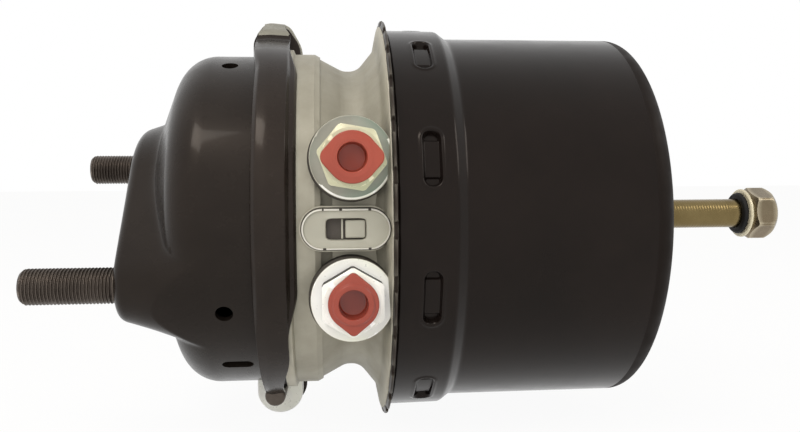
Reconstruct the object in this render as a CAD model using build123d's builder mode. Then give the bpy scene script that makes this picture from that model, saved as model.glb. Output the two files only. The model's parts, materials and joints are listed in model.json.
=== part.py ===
from build123d import *
import os
from math import atan, cos, degrees, radians, sin, sqrt, tan

# Combination air brake chamber for a disc brake: a diaphragm service section on the
# left, a spring-applied parking section on the right, shown with the spring caged by
# the release bolt.
#
# Frame: millimetres, +X along the push-rod axis from the brake end to the spring end,
# -Y towards the air ports, +Z up. The origin is where the axis meets the mounting face.

os.makedirs("parts", exist_ok=True)

# ---------------------------------------------------------------- driving dimensions
# Fits
running_gap = 0.05           # radial clearance of sliding and turning fits
seat_gap = 0.10              # clearance between pieces that are clamped or seated
soft_gap = 0.30              # clearance round soft pieces
stroke = 57.0                # full travel of the parking piston and of the push rod

# Service housing (pressed steel bowl with a raised mounting pad)
shell_r = 81.0               # outer radius of the straight wall
shell_wall = 3.0             # sheet thickness
shell_face_x = 14.0          # outside of the bowl's front face, behind the pad
shell_flat_r = 50.0          # radius where the front face starts to slope back
shell_cone_x = 13.0          # axial depth of the sloping part
shell_corner = 18.0          # radius between the slope and the straight wall
pad_mid_r = 44.0             # mounting pad: radius of its middle
pad_end_r = 15.0             # mounting pad: radius round each stud
pad_draft = 18.0             # draft of the pad's wall, degrees
pad_edge = 7.0               # radius of the pad's front edge
vent_back = 21.5             # ring of four vent holes, measured from the clamp ring
vent_r = 3.75
vent_angle = 63.5            # first vent, degrees above the port side
drain_angle = -51.0          # drain slot
drain_length = 14.0
drain_width = 6.0

# Mounting studs, M16 x 1.5
stud_pcd = 120.65
stud_r = 8.0
stud_out = 41.0              # projection from the mounting face
stud_tip = 1.6               # chamfer at the free end
stud_collar_r = 8.5          # pressed-in part inside the pad's sheet
stud_head_r = 11.5
stud_head = 5.0
stud_angle = 25.1            # the stud line falls by this angle towards the port side

# Push rod, plate, boot
rod_r = 11.0
rod_ball_r = 12.5            # ball end that enters the brake lever's cup
rod_tip_x = -5.0
rod_opening_r = 24.0         # opening in the mounting pad
seal_proud = 2.0             # face seal: projection in front of the mounting face
seal_land = 3.0              # overlap on both sides of the opening's edge
seal_thick = 2.5
seal_lip = 4.0               # depth of the lip behind the pad
lip_gap = 0.6                # between lip and push rod
plate_r = 54.0
plate_thick = 4.0
plate_edge = 3.0             # rolled edge of the plate, towards the brake end
return_wire_r = 2.0
return_big_r = 36.0          # mean radius of the return spring on the housing
return_small_r = 27.0        # and on the plate
return_turns = 4
boot_folds = 7
boot_crest_r = 21.5
boot_valley_r = 16.0
boot_wall = 1.8

# Clamped joint between service housing and centre casting
bowl_clear = 31.0            # service-side bowl floor, beyond one stroke from the mounting face
bowl_depth = 19.5            # from the middle of the clamp ring to the bowl's floor
bead_thick = 5.0             # diaphragm bead
bead_inset = 1.1             # bead's edge inside the flanges' rim
bead_run = 5.0               # bead's inner edge inside the shell's radius
flange_thick = 4.2           # each clamped flange
flange_out = 3.4             # flanges' rim outside the shell's radius
flange_slope = 22.0          # slope of the flanges' backs, degrees from radial
diaphragm_thick = 3.0

# Clamp ring: two halves, ears at top and bottom
clamp_wall = 2.3
clamp_over = 3.4             # crown's outer radius above the flanges' rim
clamp_foot = 4.6             # radial depth of the clamp's sides below the crown
ear_gap = 3.0                # gap between the halves
ear_thick = 4.0
ear_over = 9.4               # top of the ears above the crown
ear_width = 25.0
ear_round = 5.0              # radius of the ears' top corners
ear_sweep = 12.5             # radius of the ears' shoulders
ear_shoulder = 7.0           # half width of the ears at the top
ear_bolt = 2.4               # clamp bolts' axes above the crown
clamp_bolt_r = 2.5
clamp_head_af = 8.0
clamp_head = 4.0
clamp_tip = 2.0              # bolt's projection beyond its nut
strap_reach = 33.0           # where the raised strap over the top bolt leaves the crown
strap_bend = 20.0
strap_top = 10.0

# Centre casting, places measured from the middle of the clamp ring
band_drop = 2.2              # flat band beside the clamp, below the flanges' rim
band_end = 17.1
step_end = 19.5              # shallow step at the end of the band
step_drop = 2.3
step_edge = 1.0
waist_drop = 8.1
waist_start = 30.5
waist_end = 37.5
waist_round = 8.0
flare_end = 45.9             # end of the gentle flare
flare_rise = 10.4
flare_round = 5.0
lip_start = 48.1             # crest of the lip
lip_over = 1.6               # lip's crest above the collar
lip_crest = 1.0
lip_back = 0.2
web_r = 30.0                 # flat part of the spring-side floor
web_rim = 13.0               # axial depth of the sloping part of that floor
hub_face = 0.1
mouth_wall = 1.6             # bowl's mouth outside the bead's inner edge
bowl_taper = 7.6
port_out = 32.3              # air ports
port_z = 29.1                # above and below the axis
port_boss_r = 17.2
port_rise = 12.9             # boss face above the waist
port_thread_r = 11.0
port_depth = 16.0
port_drill_r = 8.0
port_drill = 27.0
port_passage_r = 4.0
block_rise = 5.4             # raised block that joins the two bosses
block_before = 8.0
block_after = 12.2
core_depth = 9.0             # recess between the block and the band
core_half = 19.0
vent_seat_rise = 4.1         # seat of the breather cover above the block
seat_border = 1.0

# Port fittings and plugs
fitting_af = 24.3
fitting_hex = 8.5
fitting_stub = 12.0
fitting_bore_r = 6.5
plug_long = 25.2             # tip to tip of the lemon-shaped head
plug_short = 20.8
plug_head = 4.0
plug_recess_r = 5.75
plug_recess = 9.0
plug_shank = 14.0
plug_nose_r = 1.4
hex_slope = 60.0             # turned chamfer across the hexagon's corners, degrees from the axis
upper_turn = 18.0            # how far each hexagon is turned, degrees
lower_turn = 30.0

# Breather cover between the ports
cover_length = 36.4
cover_width = 16.8
cover_thick = 4.2
cover_shift = 2.4            # its middle lies this far left of the ports
window_length = 16.5
window_width = 8.5
window_round = 1.6
breather_depth = 9.0
breather_wall = 3.0          # edge of the pocket inside the cover's outline
cover_rim = 0.7
cover_border = 1.5

# Spring housing (drawn steel)
cyl_over = 9.1               # cylinder's outside above the service housing's
cyl_wall = 3.1
collar_over = 4.1            # collar's outer radius above the cylinder's
collar_wall = 3.2
collar_length = 22.0
collar_step = 5.4            # length of the step down to the cylinder
collar_round = 3.0
cyl_corner = 8.0
stake_count = 10             # pressed pockets that lock the collar to the casting
stake_angle = 18.0
stake_back = 12.0            # middle of the pockets from the collar's edge
stake_length = 26.0
stake_width = 10.8
stake_deep = 2.2
stake_in = 2.0               # how far each pocket's inside reaches into the groove
stake_round = 4.0
spigot_over = 2.4            # casting's spigot beyond the collar's straight part
spigot_groove = 2.4
ring_back = 1.4              # groove of the housing O-ring from the collar's edge
ring_groove = 3.6
ring_groove_deep = 2.6
ring_wire_r = 1.3
wire_sides = 8               # flats that stand for round wire

# Castellated lock ring at the seam
lock_over = 4.7              # ring's crest above the collar
lock_thick = 3.5
lock_crest = 1.4             # width of the crest, before the slope down to the collar
lock_edge = 0.6
lock_notches = 28
lock_notch = 5.0
lock_cut = 2.4               # depth of the notches

# Parking piston and tube
piston_stop = 0.4            # from the casting's floor at the end of the stroke
tube_r = 19.0
tube_wall = 4.0
tube_cap = 5.0
tube_nose = 1.5
guide_wall = 3.0
guide_length = 11.6
tube_seal = 2.6
piston_rim = 15.0
piston_wall = 8.0
piston_hub_r = 30.0
piston_cone = 13.0
piston_rim_wall = 6.4
piston_round = 2.0
seal_back = 2.4              # seal's groove from the rim's front edge
seal_groove = 3.0
seal_width = 5.0
wear_back = 9.6              # guide ring's groove from the rim's front edge
wear_width = 3.6
wear_groove = 1.6
spring_seat = 1.0            # spring's seat behind the piston's wall
caged_spring = 49.5          # from that seat to the end wall with the spring caged
spring_wire_r = 5.5
spring_in = 19.0             # spring's mean radius inside the bore
spring_turns = 3.3

# Release bolt (two-start thread, drawn plain) and its nut
bolt_r = 7.6
bolt_stop = 3.4              # from the nut to the seal at the end of the stroke
bolt_hex_af = 24.0
bolt_hex = 20.4
bolt_flange = 1.6
bolt_seal = 4.6              # rubber ring under the flange
bolt_flange_r = 13.0
bolt_seal_r = 12.4
bolt_seal_round = 1.4
bolt_inner = 2.8             # bolt's end beyond the clip
clip_back = 9.0              # clip from the inner end of the tube's joint
clip_thick = 1.6
clip_groove = 1.2
hex_turn = 21.0
hex_chamfer = 2.6
hex_face = 1.0               # chamfer's edge inside the flats
edge_break = 1.0             # small turned chamfers
thrust_r = 12.6              # collar that pulls the piston back
nut_r = 15.0
nut_flange_r = 21.0
nut_flange = 3.4
nut_out = 3.6                # projection beyond the end wall
nut_in = 12.0

# ---------------------------------------------------------------- derived places
bowl_floor_x = stroke + bowl_clear
joint_x = bowl_floor_x - bowl_depth
vent_x = joint_x - vent_back
shell_in_r = shell_r - shell_wall
near_stud = (-stud_pcd / 2 * cos(radians(stud_angle)), -stud_pcd / 2 * sin(radians(stud_angle)))
far_stud = (-near_stud[0], -near_stud[1])

slope_run = tan(radians(flange_slope))
bead_x0 = joint_x - bead_thick / 2
bead_x1 = joint_x + bead_thick / 2
flange_x0 = bead_x0 - flange_thick
flange_x1 = bead_x1 + flange_thick
flange_r = shell_r + flange_out
bead_r = flange_r - bead_inset
bead_in_r = shell_r - bead_run
clamp_crown_r = flange_r + clamp_over
ear_top_r = clamp_crown_r + ear_over
ear_bolt_r = clamp_crown_r + ear_bolt

band_x = joint_x + band_end
band_r = flange_r - band_drop
step_x = joint_x + step_end
step_r = band_r - step_drop
waist_x0 = joint_x + waist_start
waist_x1 = joint_x + waist_end
waist_r = band_r - waist_drop
flare_x = joint_x + flare_end
flare_r = waist_r + flare_rise
lip_x = joint_x + lip_start
lip_back_x = lip_x + lip_crest + lip_back
web_x = waist_x1
web_rim_x = web_x + web_rim
hub_x = web_x - hub_face
bowl_mouth_r = bead_in_r + mouth_wall
bowl_floor_r = bowl_mouth_r - bowl_taper
port_x = joint_x + port_out
port_face_y = -waist_r - port_rise
block_face_y = -waist_r - block_rise
block_x0 = port_x - block_before
block_x1 = port_x + block_after
cover_x = port_x - cover_shift
vent_seat_y = block_face_y - vent_seat_rise
fitting_top_y = port_face_y - fitting_hex

cyl_r = shell_r + cyl_over
collar_r = cyl_r + collar_over
lip_r = collar_r + lip_over
lock_r = collar_r + lock_over
bore_r = cyl_r - cyl_wall
spigot_r = collar_r - collar_wall - seat_gap
lock_x = lip_back_x + seat_gap
collar_x0 = lock_x + lock_thick + seat_gap
collar_x = collar_x0 + collar_length
collar_step_x = collar_x + collar_step
spigot_x = collar_x + spigot_over
stake_x = collar_x0 + stake_back
ring_groove_x = collar_x0 + ring_back

diaphragm_x1 = bowl_floor_x - soft_gap
diaphragm_x0 = diaphragm_x1 - diaphragm_thick
plate_x1 = diaphragm_x0 - soft_gap
plate_x0 = plate_x1 - plate_thick
ball_x = rod_tip_x + rod_ball_r

piston_hub_x = web_x + piston_stop + stroke
piston_x = piston_hub_x + piston_cone
piston_back_x = piston_x + piston_wall
spring_seat_x = piston_back_x + spring_seat
spring_mean_r = bore_r - spring_in
cyl_end_in_x = spring_seat_x + caged_spring
cyl_end_x = cyl_end_in_x + cyl_wall
seal_x0 = piston_x + seal_back
wear_x0 = piston_x + wear_back
guide_r = tube_r + running_gap + guide_wall
hub_bore_r = guide_r + running_gap
tube_x0 = bowl_floor_x
tube_x1 = piston_hub_x + piston_wall / 2
nut_x0 = cyl_end_in_x - nut_in
nut_x1 = cyl_end_x + nut_out
clip_x0 = tube_x1 - clip_back
bolt_inner_x = clip_x0 - bolt_inner
bolt_seal_x0 = nut_x1 + stroke + bolt_stop
bolt_flange_x0 = bolt_seal_x0 + bolt_seal
bolt_hex_x0 = bolt_flange_x0 + bolt_flange
bolt_hex_x1 = bolt_hex_x0 + bolt_hex


def save(part, name):
    """Label a finished piece and write its STEP file."""
    part.label = name
    export_step(part, f"parts/{name}.step")


def corner(sketch, x, y):
    """Vertex of a sketch that lies at a place in the sketch's own plane."""
    return sketch.vertices().sort_by_distance((x, y, 0))[0]


def radial(angle, radius, x=0.0):
    """Plane on a cylinder's surface, facing out; angle rises from the port side (-Y)."""
    out = Vector(0, -cos(radians(angle)), sin(radians(angle)))
    return Plane(origin=Vector(x, 0, 0) + out * radius, x_dir=(1, 0, 0), z_dir=out)


# ---------------------------------------------------------------- service housing
def housing_form(inset, rounded):
    """Solid form of the bowl and its pad, drawn in by the given inset."""
    wall_r = shell_r - inset
    with BuildPart() as form:
        with BuildSketch(Plane.YZ.offset(inset)):
            Circle(pad_mid_r - inset)
            with Locations(near_stud, far_stud):
                Circle(pad_end_r - inset)
            make_hull()
        extrude(amount=shell_face_x + shell_cone_x + shell_corner, taper=-pad_draft)
        if rounded:
            front = form.faces().sort_by(Axis.X)[0]
            fillet(front.edges(), pad_edge)
        with BuildSketch(Plane.YZ):
            Circle(wall_r)
        extrude(amount=flange_x0, mode=Mode.INTERSECT)
        flat_end = (shell_face_x + inset, shell_flat_r - inset / 2)
        slope_end = (shell_face_x + shell_cone_x + inset / 2, wall_r)
        with BuildSketch(Plane.XZ) as side:
            Polygon((shell_face_x + inset, 0), flat_end, slope_end, (bead_x0, wall_r), (bead_x0, 0))
            fillet(corner(side, *flat_end), shell_corner / 2)
            fillet(corner(side, *slope_end), shell_corner - inset)
        revolve(axis=Axis.X)
    return form.part


outer_form = housing_form(0.0, True)
inner_form = housing_form(shell_wall, False)

with BuildPart() as service_housing:
    add(outer_form)
    with BuildSketch(Plane.XZ):
        Polygon(
            (flange_x0 - (flange_r - shell_r) * slope_run, shell_r - shell_wall / 2),
            (flange_x0 - (flange_r - shell_r) * slope_run, shell_r),
            (flange_x0, flange_r),
            (bead_x0, flange_r),
            (bead_x0, shell_r - shell_wall / 2),
        )
    revolve(axis=Axis.X)
    add(inner_form, mode=Mode.SUBTRACT)
    with BuildSketch(Plane.YZ):
        Circle(rod_opening_r)
        with Locations(near_stud, far_stud):
            Circle(stud_collar_r + seat_gap)
    extrude(amount=shell_face_x, mode=Mode.SUBTRACT)
    for turn in range(4):
        with BuildSketch(radial(vent_angle + 90 * turn, shell_r, vent_x)):
            Circle(vent_r)
        extrude(amount=shell_wall * 2, both=True, mode=Mode.SUBTRACT)
    with BuildSketch(radial(drain_angle, shell_r, vent_x + drain_width / 2)):
        SlotOverall(drain_length, drain_width)
    extrude(amount=shell_wall * 2, both=True, mode=Mode.SUBTRACT)
save(service_housing.part, "service_housing")

with BuildPart() as mounting_studs:
    with Locations(Plane.YZ.offset(-stud_out)):
        with Locations(near_stud, far_stud):
            Cylinder(stud_r, stud_out + shell_wall + stud_head, align=(Align.CENTER, Align.CENTER, Align.MIN))
    chamfer(mounting_studs.faces().group_by(Axis.X)[0].edges(), stud_tip)
    with BuildSketch(Plane.YZ):
        with Locations(near_stud, far_stud):
            Circle(stud_collar_r)
    extrude(amount=shell_wall)
    with BuildSketch(Plane.YZ.offset(shell_wall)):
        with Locations(near_stud, far_stud):
            Circle(stud_head_r)
    extrude(amount=stud_head)
save(mounting_studs.part, "mounting_studs")

# Rubber face seal in the pad's opening, with a lip round the push rod
with BuildPart() as rod_seal:
    with BuildSketch(Plane.XZ):
        Polygon(
            (-seal_proud, rod_opening_r - seal_land),
            (-seal_proud, rod_opening_r - seat_gap),
            (shell_wall + seat_gap, rod_opening_r - seat_gap),
            (shell_wall + seat_gap, rod_opening_r + seal_land),
            (shell_wall + seal_thick, rod_opening_r + seal_land),
            (shell_wall + seal_lip, rod_ball_r + 2 * lip_gap),
            (shell_wall + seal_lip - 2 * lip_gap, rod_ball_r + lip_gap),
            (shell_wall, rod_opening_r - seal_land),
        )
    revolve(axis=Axis.X)
save(rod_seal.part, "rod_seal")

# Rubber bellows from the face seal to the push plate
boot_x0 = shell_wall + seal_lip + soft_gap
boot_x1 = plate_x0 - soft_gap
fold_pitch = (boot_x1 - boot_x0) / boot_folds
with BuildPart() as rod_boot:
    with BuildSketch(Plane.XZ):
        outer = []
        for fold in range(boot_folds):
            start = boot_x0 + fold * fold_pitch
            outer += [(start, boot_valley_r), (start + fold_pitch / 2, boot_crest_r)]
        outer.append((boot_x1, boot_valley_r))
        inner = [(x, r - boot_wall) for x, r in reversed(outer)]
        Polygon(*outer, *inner)
    revolve(axis=Axis.X)
save(rod_boot.part, "rod_boot")

# ---------------------------------------------------------------- push rod group
with BuildPart() as push_rod:
    with BuildSketch(Plane.XZ):
        Polygon(
            (ball_x, 0),
            (ball_x, rod_r),
            (plate_x0 - plate_edge, rod_r),
            (plate_x0, rod_r + plate_edge),
            (plate_x0, 0),
        )
    revolve(axis=Axis.X)
    with Locations((ball_x, 0, 0)):
        Sphere(rod_ball_r)
save(push_rod.part, "push_rod")

with BuildPart() as push_plate:
    with BuildSketch(Plane.XZ) as side:
        Polygon(
            (plate_x0, 0),
            (plate_x0, plate_r - plate_thick),
            (plate_x0 - plate_edge, plate_r - plate_thick),
            (plate_x0 - plate_edge, plate_r),
            (plate_x1, plate_r),
            (plate_x1, 0),
        )
        fillet(corner(side, plate_x1, plate_r), plate_thick)
    revolve(axis=Axis.X)
save(push_plate.part, "push_plate")


def coil(x0, x1, r0, r1, turns, wire_r):
    """Wire spring along the axis, from mean radius r0 at x0 to r1 at x1."""
    height = x1 - x0
    lean = degrees(atan((r1 - r0) / height))
    with BuildPart() as spring:
        with BuildLine() as path:
            Helix(height / turns, height, r0, center=(x0, 0, 0), direction=(1, 0, 0), cone_angle=lean)
        with BuildSketch(Plane(origin=path.line @ 0, z_dir=path.line % 0)):
            RegularPolygon(wire_r, wire_sides)
        sweep(is_frenet=True)
    return spring.part


return_x0 = shell_wall + seat_gap + return_wire_r
return_x1 = plate_x0 - seat_gap - return_wire_r
return_spring = coil(return_x0, return_x1, return_big_r, return_small_r, return_turns, return_wire_r)
save(return_spring, "return_spring")

# Diaphragm, lying back in the casting's bowl
with BuildPart() as diaphragm:
    with BuildSketch(Plane.XZ) as side:
        Polygon(
            (bead_x0 + seat_gap, bead_in_r),
            (bead_x0 + seat_gap, bead_r),
            (bead_x1 - seat_gap, bead_r),
            (bead_x1 - seat_gap, bowl_mouth_r - soft_gap),
            (diaphragm_x1, bowl_floor_r - soft_gap),
            (diaphragm_x1, 0),
            (diaphragm_x0, 0),
            (diaphragm_x0, bowl_floor_r - diaphragm_thick),
        )
        fillet(corner(side, diaphragm_x0, bowl_floor_r - diaphragm_thick), diaphragm_thick)
        fillet(corner(side, diaphragm_x1, bowl_floor_r - soft_gap), 2 * diaphragm_thick)
    revolve(axis=Axis.X)
save(diaphragm.part, "diaphragm")

# ---------------------------------------------------------------- clamp ring
def flank(r, gap):
    """Half width of the flange stack at a radius, with a gap on its sloping backs."""
    return bead_thick / 2 + flange_thick + gap + (flange_r - r) * slope_run


clamp_in_r = clamp_crown_r - clamp_wall
clamp_foot_r = clamp_crown_r - clamp_foot
flank_wall = clamp_wall / cos(radians(flange_slope))
crown_half = flank(clamp_crown_r, seat_gap) + flank_wall
ear_y = ear_gap / 2 + ear_thick


def clamp_half():
    """Half of the clamp ring on the port side, with an ear at top and bottom."""
    with BuildPart() as half:
        for level in (1, -1):
            with BuildSketch(Plane.XZ.offset(ear_gap / 2)) as ear:
                low = level * (clamp_foot_r - ear_thick)
                shoulder = level * clamp_foot_r
                top = level * ear_top_r
                Polygon(
                    (joint_x - ear_width / 2, low),
                    (joint_x - ear_width / 2, shoulder),
                    (joint_x - ear_shoulder, top),
                    (joint_x + ear_shoulder, top),
                    (joint_x + ear_width / 2, shoulder),
                    (joint_x + ear_width / 2, low),
                )
                tops = ear.vertices().group_by(Axis.Y)[-1 if level > 0 else 0]
                fillet(tops, ear_round)
                shoulders = [corner(ear, joint_x + side * ear_width / 2, shoulder) for side in (-1, 1)]
                fillet(shoulders, ear_sweep)
            extrude(amount=ear_thick)
        with BuildSketch(Plane.YZ.offset(joint_x - crown_half)):
            Polygon(
                (-strap_reach, sqrt(clamp_crown_r**2 - strap_reach**2)),
                (-strap_bend, ear_top_r - clamp_foot),
                (-strap_top, ear_top_r),
                (-ear_gap / 2, ear_top_r),
                (-ear_gap / 2, clamp_foot_r),
                (-strap_bend, clamp_foot_r),
            )
        extrude(amount=2 * crown_half)
        with BuildSketch(Plane.YZ.offset(joint_x - crown_half)):
            Polygon(
                (-strap_reach + 2 * clamp_wall, sqrt(clamp_crown_r**2 - strap_reach**2)),
                (-strap_bend + clamp_wall / 2, ear_top_r - clamp_foot - clamp_wall),
                (-strap_top, ear_top_r - clamp_wall),
                (-ear_y, ear_top_r - clamp_wall),
                (-ear_y, clamp_foot_r - clamp_wall),
                (-strap_bend, clamp_foot_r - 2 * clamp_wall),
            )
        extrude(amount=2 * crown_half, mode=Mode.SUBTRACT)
        with BuildSketch(Plane.XZ):
            Polygon(
                (joint_x - flank(clamp_foot_r, seat_gap) - flank_wall, clamp_foot_r),
                (joint_x - crown_half, clamp_crown_r),
                (joint_x + crown_half, clamp_crown_r),
                (joint_x + flank(clamp_foot_r, seat_gap) + flank_wall, clamp_foot_r),
            )
        revolve(axis=Axis.X)
        with BuildSketch(Plane.XZ):
            Polygon(
                (joint_x - ear_width, 0),
                (joint_x - ear_width, clamp_foot_r),
                (joint_x - flank(clamp_foot_r, seat_gap), clamp_foot_r),
                (joint_x - flank(clamp_in_r, seat_gap), clamp_in_r),
                (joint_x + flank(clamp_in_r, seat_gap), clamp_in_r),
                (joint_x + flank(clamp_foot_r, seat_gap), clamp_foot_r),
                (joint_x + ear_width, clamp_foot_r),
                (joint_x + ear_width, 0),
            )
        revolve(axis=Axis.X, mode=Mode.SUBTRACT)
        with BuildSketch(Plane.XZ.offset(-clamp_crown_r * 2)):
            Rectangle(8 * clamp_crown_r, 4 * clamp_crown_r)
        extrude(amount=clamp_crown_r * 2 + ear_gap / 2, mode=Mode.SUBTRACT)
        with BuildSketch(Plane.XZ.offset(ear_y)):
            with Locations((joint_x, ear_bolt_r), (joint_x, -ear_bolt_r)):
                Circle(clamp_head_af / sqrt(3) + 2 * soft_gap)
        extrude(amount=3 * clamp_head, mode=Mode.SUBTRACT)
        with BuildSketch(Plane.XZ):
            with Locations((joint_x, ear_bolt_r), (joint_x, -ear_bolt_r)):
                Circle(clamp_bolt_r + seat_gap)
        extrude(amount=ear_y, mode=Mode.SUBTRACT)
    return half.part


front_half = clamp_half()
save(front_half, "clamp_half_front")
rear_half = mirror(front_half, about=Plane.XZ)
save(rear_half, "clamp_half_rear")

with BuildPart() as clamp_bolts:
    with BuildSketch(Plane.XZ.offset(-ear_y)):
        with Locations((joint_x, ear_bolt_r), (joint_x, -ear_bolt_r)):
            RegularPolygon(clamp_head_af / 2, 6, major_radius=False)
    extrude(amount=-clamp_head)
    with BuildSketch(Plane.XZ.offset(-ear_y)):
        with Locations((joint_x, ear_bolt_r), (joint_x, -ear_bolt_r)):
            Circle(clamp_bolt_r)
    extrude(amount=2 * ear_y + clamp_head + clamp_tip)
save(clamp_bolts.part, "clamp_bolts")

with BuildPart() as clamp_nuts:
    with BuildSketch(Plane.XZ.offset(ear_y)):
        with Locations((joint_x, ear_bolt_r), (joint_x, -ear_bolt_r)):
            RegularPolygon(clamp_head_af / 2, 6, major_radius=False)
            Circle(clamp_bolt_r + running_gap, mode=Mode.SUBTRACT)
    extrude(amount=clamp_head)
save(clamp_nuts.part, "clamp_nuts")

# ---------------------------------------------------------------- centre casting
def stadium(length, width, y):
    """Sketch plane facing the port side at a given y, with a slot outline in it."""
    with BuildSketch(Plane.XZ.offset(-y)) as shape:
        with Locations((cover_x, 0)):
            SlotOverall(length, width)
    return shape.sketch


with BuildPart() as flange_housing:
    with BuildSketch(Plane.XZ) as side:
        Polygon(
            (bead_x1, bowl_mouth_r),
            (bead_x1, flange_r),
            (flange_x1, flange_r),
            (flange_x1 + (flange_r - band_r) * slope_run, band_r),
            (band_x, band_r),
            (step_x, step_r + step_edge),
            (step_x, step_r),
            (waist_x0, waist_r),
            (waist_x1, waist_r),
            (flare_x, flare_r),
            (lip_x, lip_r),
            (lip_x + lip_crest, lip_r),
            (lip_back_x, spigot_r),
            (spigot_x, spigot_r),
            (spigot_x, bore_r),
            (web_rim_x, bore_r),
            (web_x, web_r),
            (hub_x, web_r - hub_face),
            (hub_x, hub_bore_r),
            (bowl_floor_x, hub_bore_r),
            (bowl_floor_x, bowl_floor_r),
        )
        fillet([corner(side, waist_x0, waist_r), corner(side, waist_x1, waist_r)], waist_round)
        fillet(corner(side, flare_x, flare_r), flare_round)
        fillet(corner(side, bowl_floor_x, bowl_floor_r), diaphragm_thick)
    revolve(axis=Axis.X)
    # recess behind the band, and the raised block that carries the cover and the bosses
    with BuildSketch(Plane.XZ.offset(band_r)):
        with Locations(((step_x + block_x0) / 2, 0)):
            Rectangle(block_x0 - step_x, 2 * core_half)
    extrude(amount=-core_depth, mode=Mode.SUBTRACT)
    with BuildSketch(Plane.XZ.offset(-block_face_y)):
        with Locations(((block_x0 + block_x1) / 2, 0)):
            Rectangle(block_x1 - block_x0, 2 * port_z)
    extrude(amount=-block_rise - port_boss_r)
    add(extrude(stadium(cover_length + 2 * seat_border, cover_width + 2 * seat_border, vent_seat_y), amount=-port_boss_r))
    seat_room = stadium(cover_length + 2 * soft_gap, cover_width + 2 * soft_gap, vent_seat_y)
    add(extrude(seat_room, amount=lip_r + vent_seat_y), mode=Mode.SUBTRACT)
    with BuildSketch(Plane.XZ.offset(-port_face_y)):
        with Locations((port_x, port_z), (port_x, -port_z)):
            Circle(port_boss_r)
    extrude(amount=-port_boss_r)
    # the service bowl and the piston's side stay open behind the bosses
    with BuildSketch(Plane.XZ) as side:
        Polygon(
            (bead_x1, 0),
            (bead_x1, bowl_mouth_r),
            (bowl_floor_x, bowl_floor_r),
            (bowl_floor_x, 0),
        )
        fillet(corner(side, bowl_floor_x, bowl_floor_r), diaphragm_thick)
        Polygon((web_x, 0), (web_x, web_r), (web_rim_x, bore_r), (spigot_x, bore_r), (spigot_x, 0))
    revolve(axis=Axis.X, mode=Mode.SUBTRACT)
    with BuildSketch(Plane.XZ.offset(-port_face_y)):
        with Locations((port_x, port_z), (port_x, -port_z)):
            Circle(port_thread_r)
    extrude(amount=-port_depth, mode=Mode.SUBTRACT)
    with BuildSketch(Plane.XZ.offset(-port_face_y)):
        with Locations((port_x, port_z), (port_x, -port_z)):
            Circle(port_drill_r)
    extrude(amount=-port_drill, mode=Mode.SUBTRACT)
    with BuildSketch(Plane.YZ.offset(bowl_floor_x)):
        with Locations((port_face_y + port_drill - port_passage_r, port_z)):
            Circle(port_passage_r)
    extrude(amount=port_x - bowl_floor_x, mode=Mode.SUBTRACT)
    with BuildSketch(Plane.YZ.offset(port_x)):
        with Locations((port_face_y + port_drill - port_passage_r, -port_z)):
            Circle(port_passage_r)
    extrude(amount=web_rim_x - port_x, mode=Mode.SUBTRACT)
    pocket = stadium(cover_length - 2 * breather_wall, cover_width - 2 * breather_wall, vent_seat_y)
    add(extrude(pocket, amount=-breather_depth), mode=Mode.SUBTRACT)
    # grooves of the spigot
    for groove_x0, groove_x1, depth in (
        (ring_groove_x, ring_groove_x + ring_groove, ring_groove_deep),
        (stake_x - stake_width / 2 - seat_gap, stake_x + stake_width / 2 + seat_gap, spigot_groove),
    ):
        with BuildSketch(Plane.XZ):
            Polygon(
                (groove_x0, spigot_r - depth),
                (groove_x1, spigot_r - depth),
                (groove_x1, spigot_r + seat_gap),
                (groove_x0, spigot_r + seat_gap),
            )
        revolve(axis=Axis.X, mode=Mode.SUBTRACT)
save(flange_housing.part, "flange_housing")


def bush(name, x0, x1, r_in, r_out):
    """Plain ring about the axis."""
    with BuildPart() as ring:
        with BuildSketch(Plane.XZ):
            Polygon((x0, r_in), (x0, r_out), (x1, r_out), (x1, r_in))
        revolve(axis=Axis.X)
    save(ring.part, name)


guide_x0 = (bowl_floor_x + hub_x - guide_length) / 2
bush("tube_guide", guide_x0, guide_x0 + guide_length, tube_r + running_gap, guide_r)
with BuildPart() as tube_seals:
    with BuildSketch(Plane.XZ):
        for seal_x in (bowl_floor_x + seat_gap, hub_x - seat_gap - tube_seal):
            Polygon(
                (seal_x, tube_r + running_gap),
                (seal_x, guide_r),
                (seal_x + tube_seal, guide_r),
                (seal_x + tube_seal, tube_r + running_gap),
            )
    revolve(axis=Axis.X)
save(tube_seals.part, "tube_seals")

with BuildPart() as housing_ring:
    with BuildSketch(Plane.XZ):
        with Locations((ring_groove_x + ring_groove / 2, spigot_r + seat_gap / 2 - ring_wire_r)):
            RegularPolygon(ring_wire_r, wire_sides)
    revolve(axis=Axis.X)
save(housing_ring.part, "housing_o_ring")

# ---------------------------------------------------------------- breather between the ports
with BuildPart() as breather_cover:
    add(extrude(stadium(cover_length, cover_width, vent_seat_y - cover_thick), amount=-cover_thick))
    chamfer(breather_cover.faces().sort_by(Axis.Y)[0].edges(), cover_rim)
    face = stadium(cover_length - 2 * cover_border, cover_width - 2 * cover_border, vent_seat_y - cover_thick)
    add(extrude(face, amount=-cover_rim), mode=Mode.SUBTRACT)
    with BuildSketch(Plane.XZ.offset(cover_thick - vent_seat_y)):
        with Locations((cover_x, 0)):
            RectangleRounded(window_length, window_width, window_round)
    extrude(amount=-cover_thick, mode=Mode.SUBTRACT)
save(breather_cover.part, "breather_cover")

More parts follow.
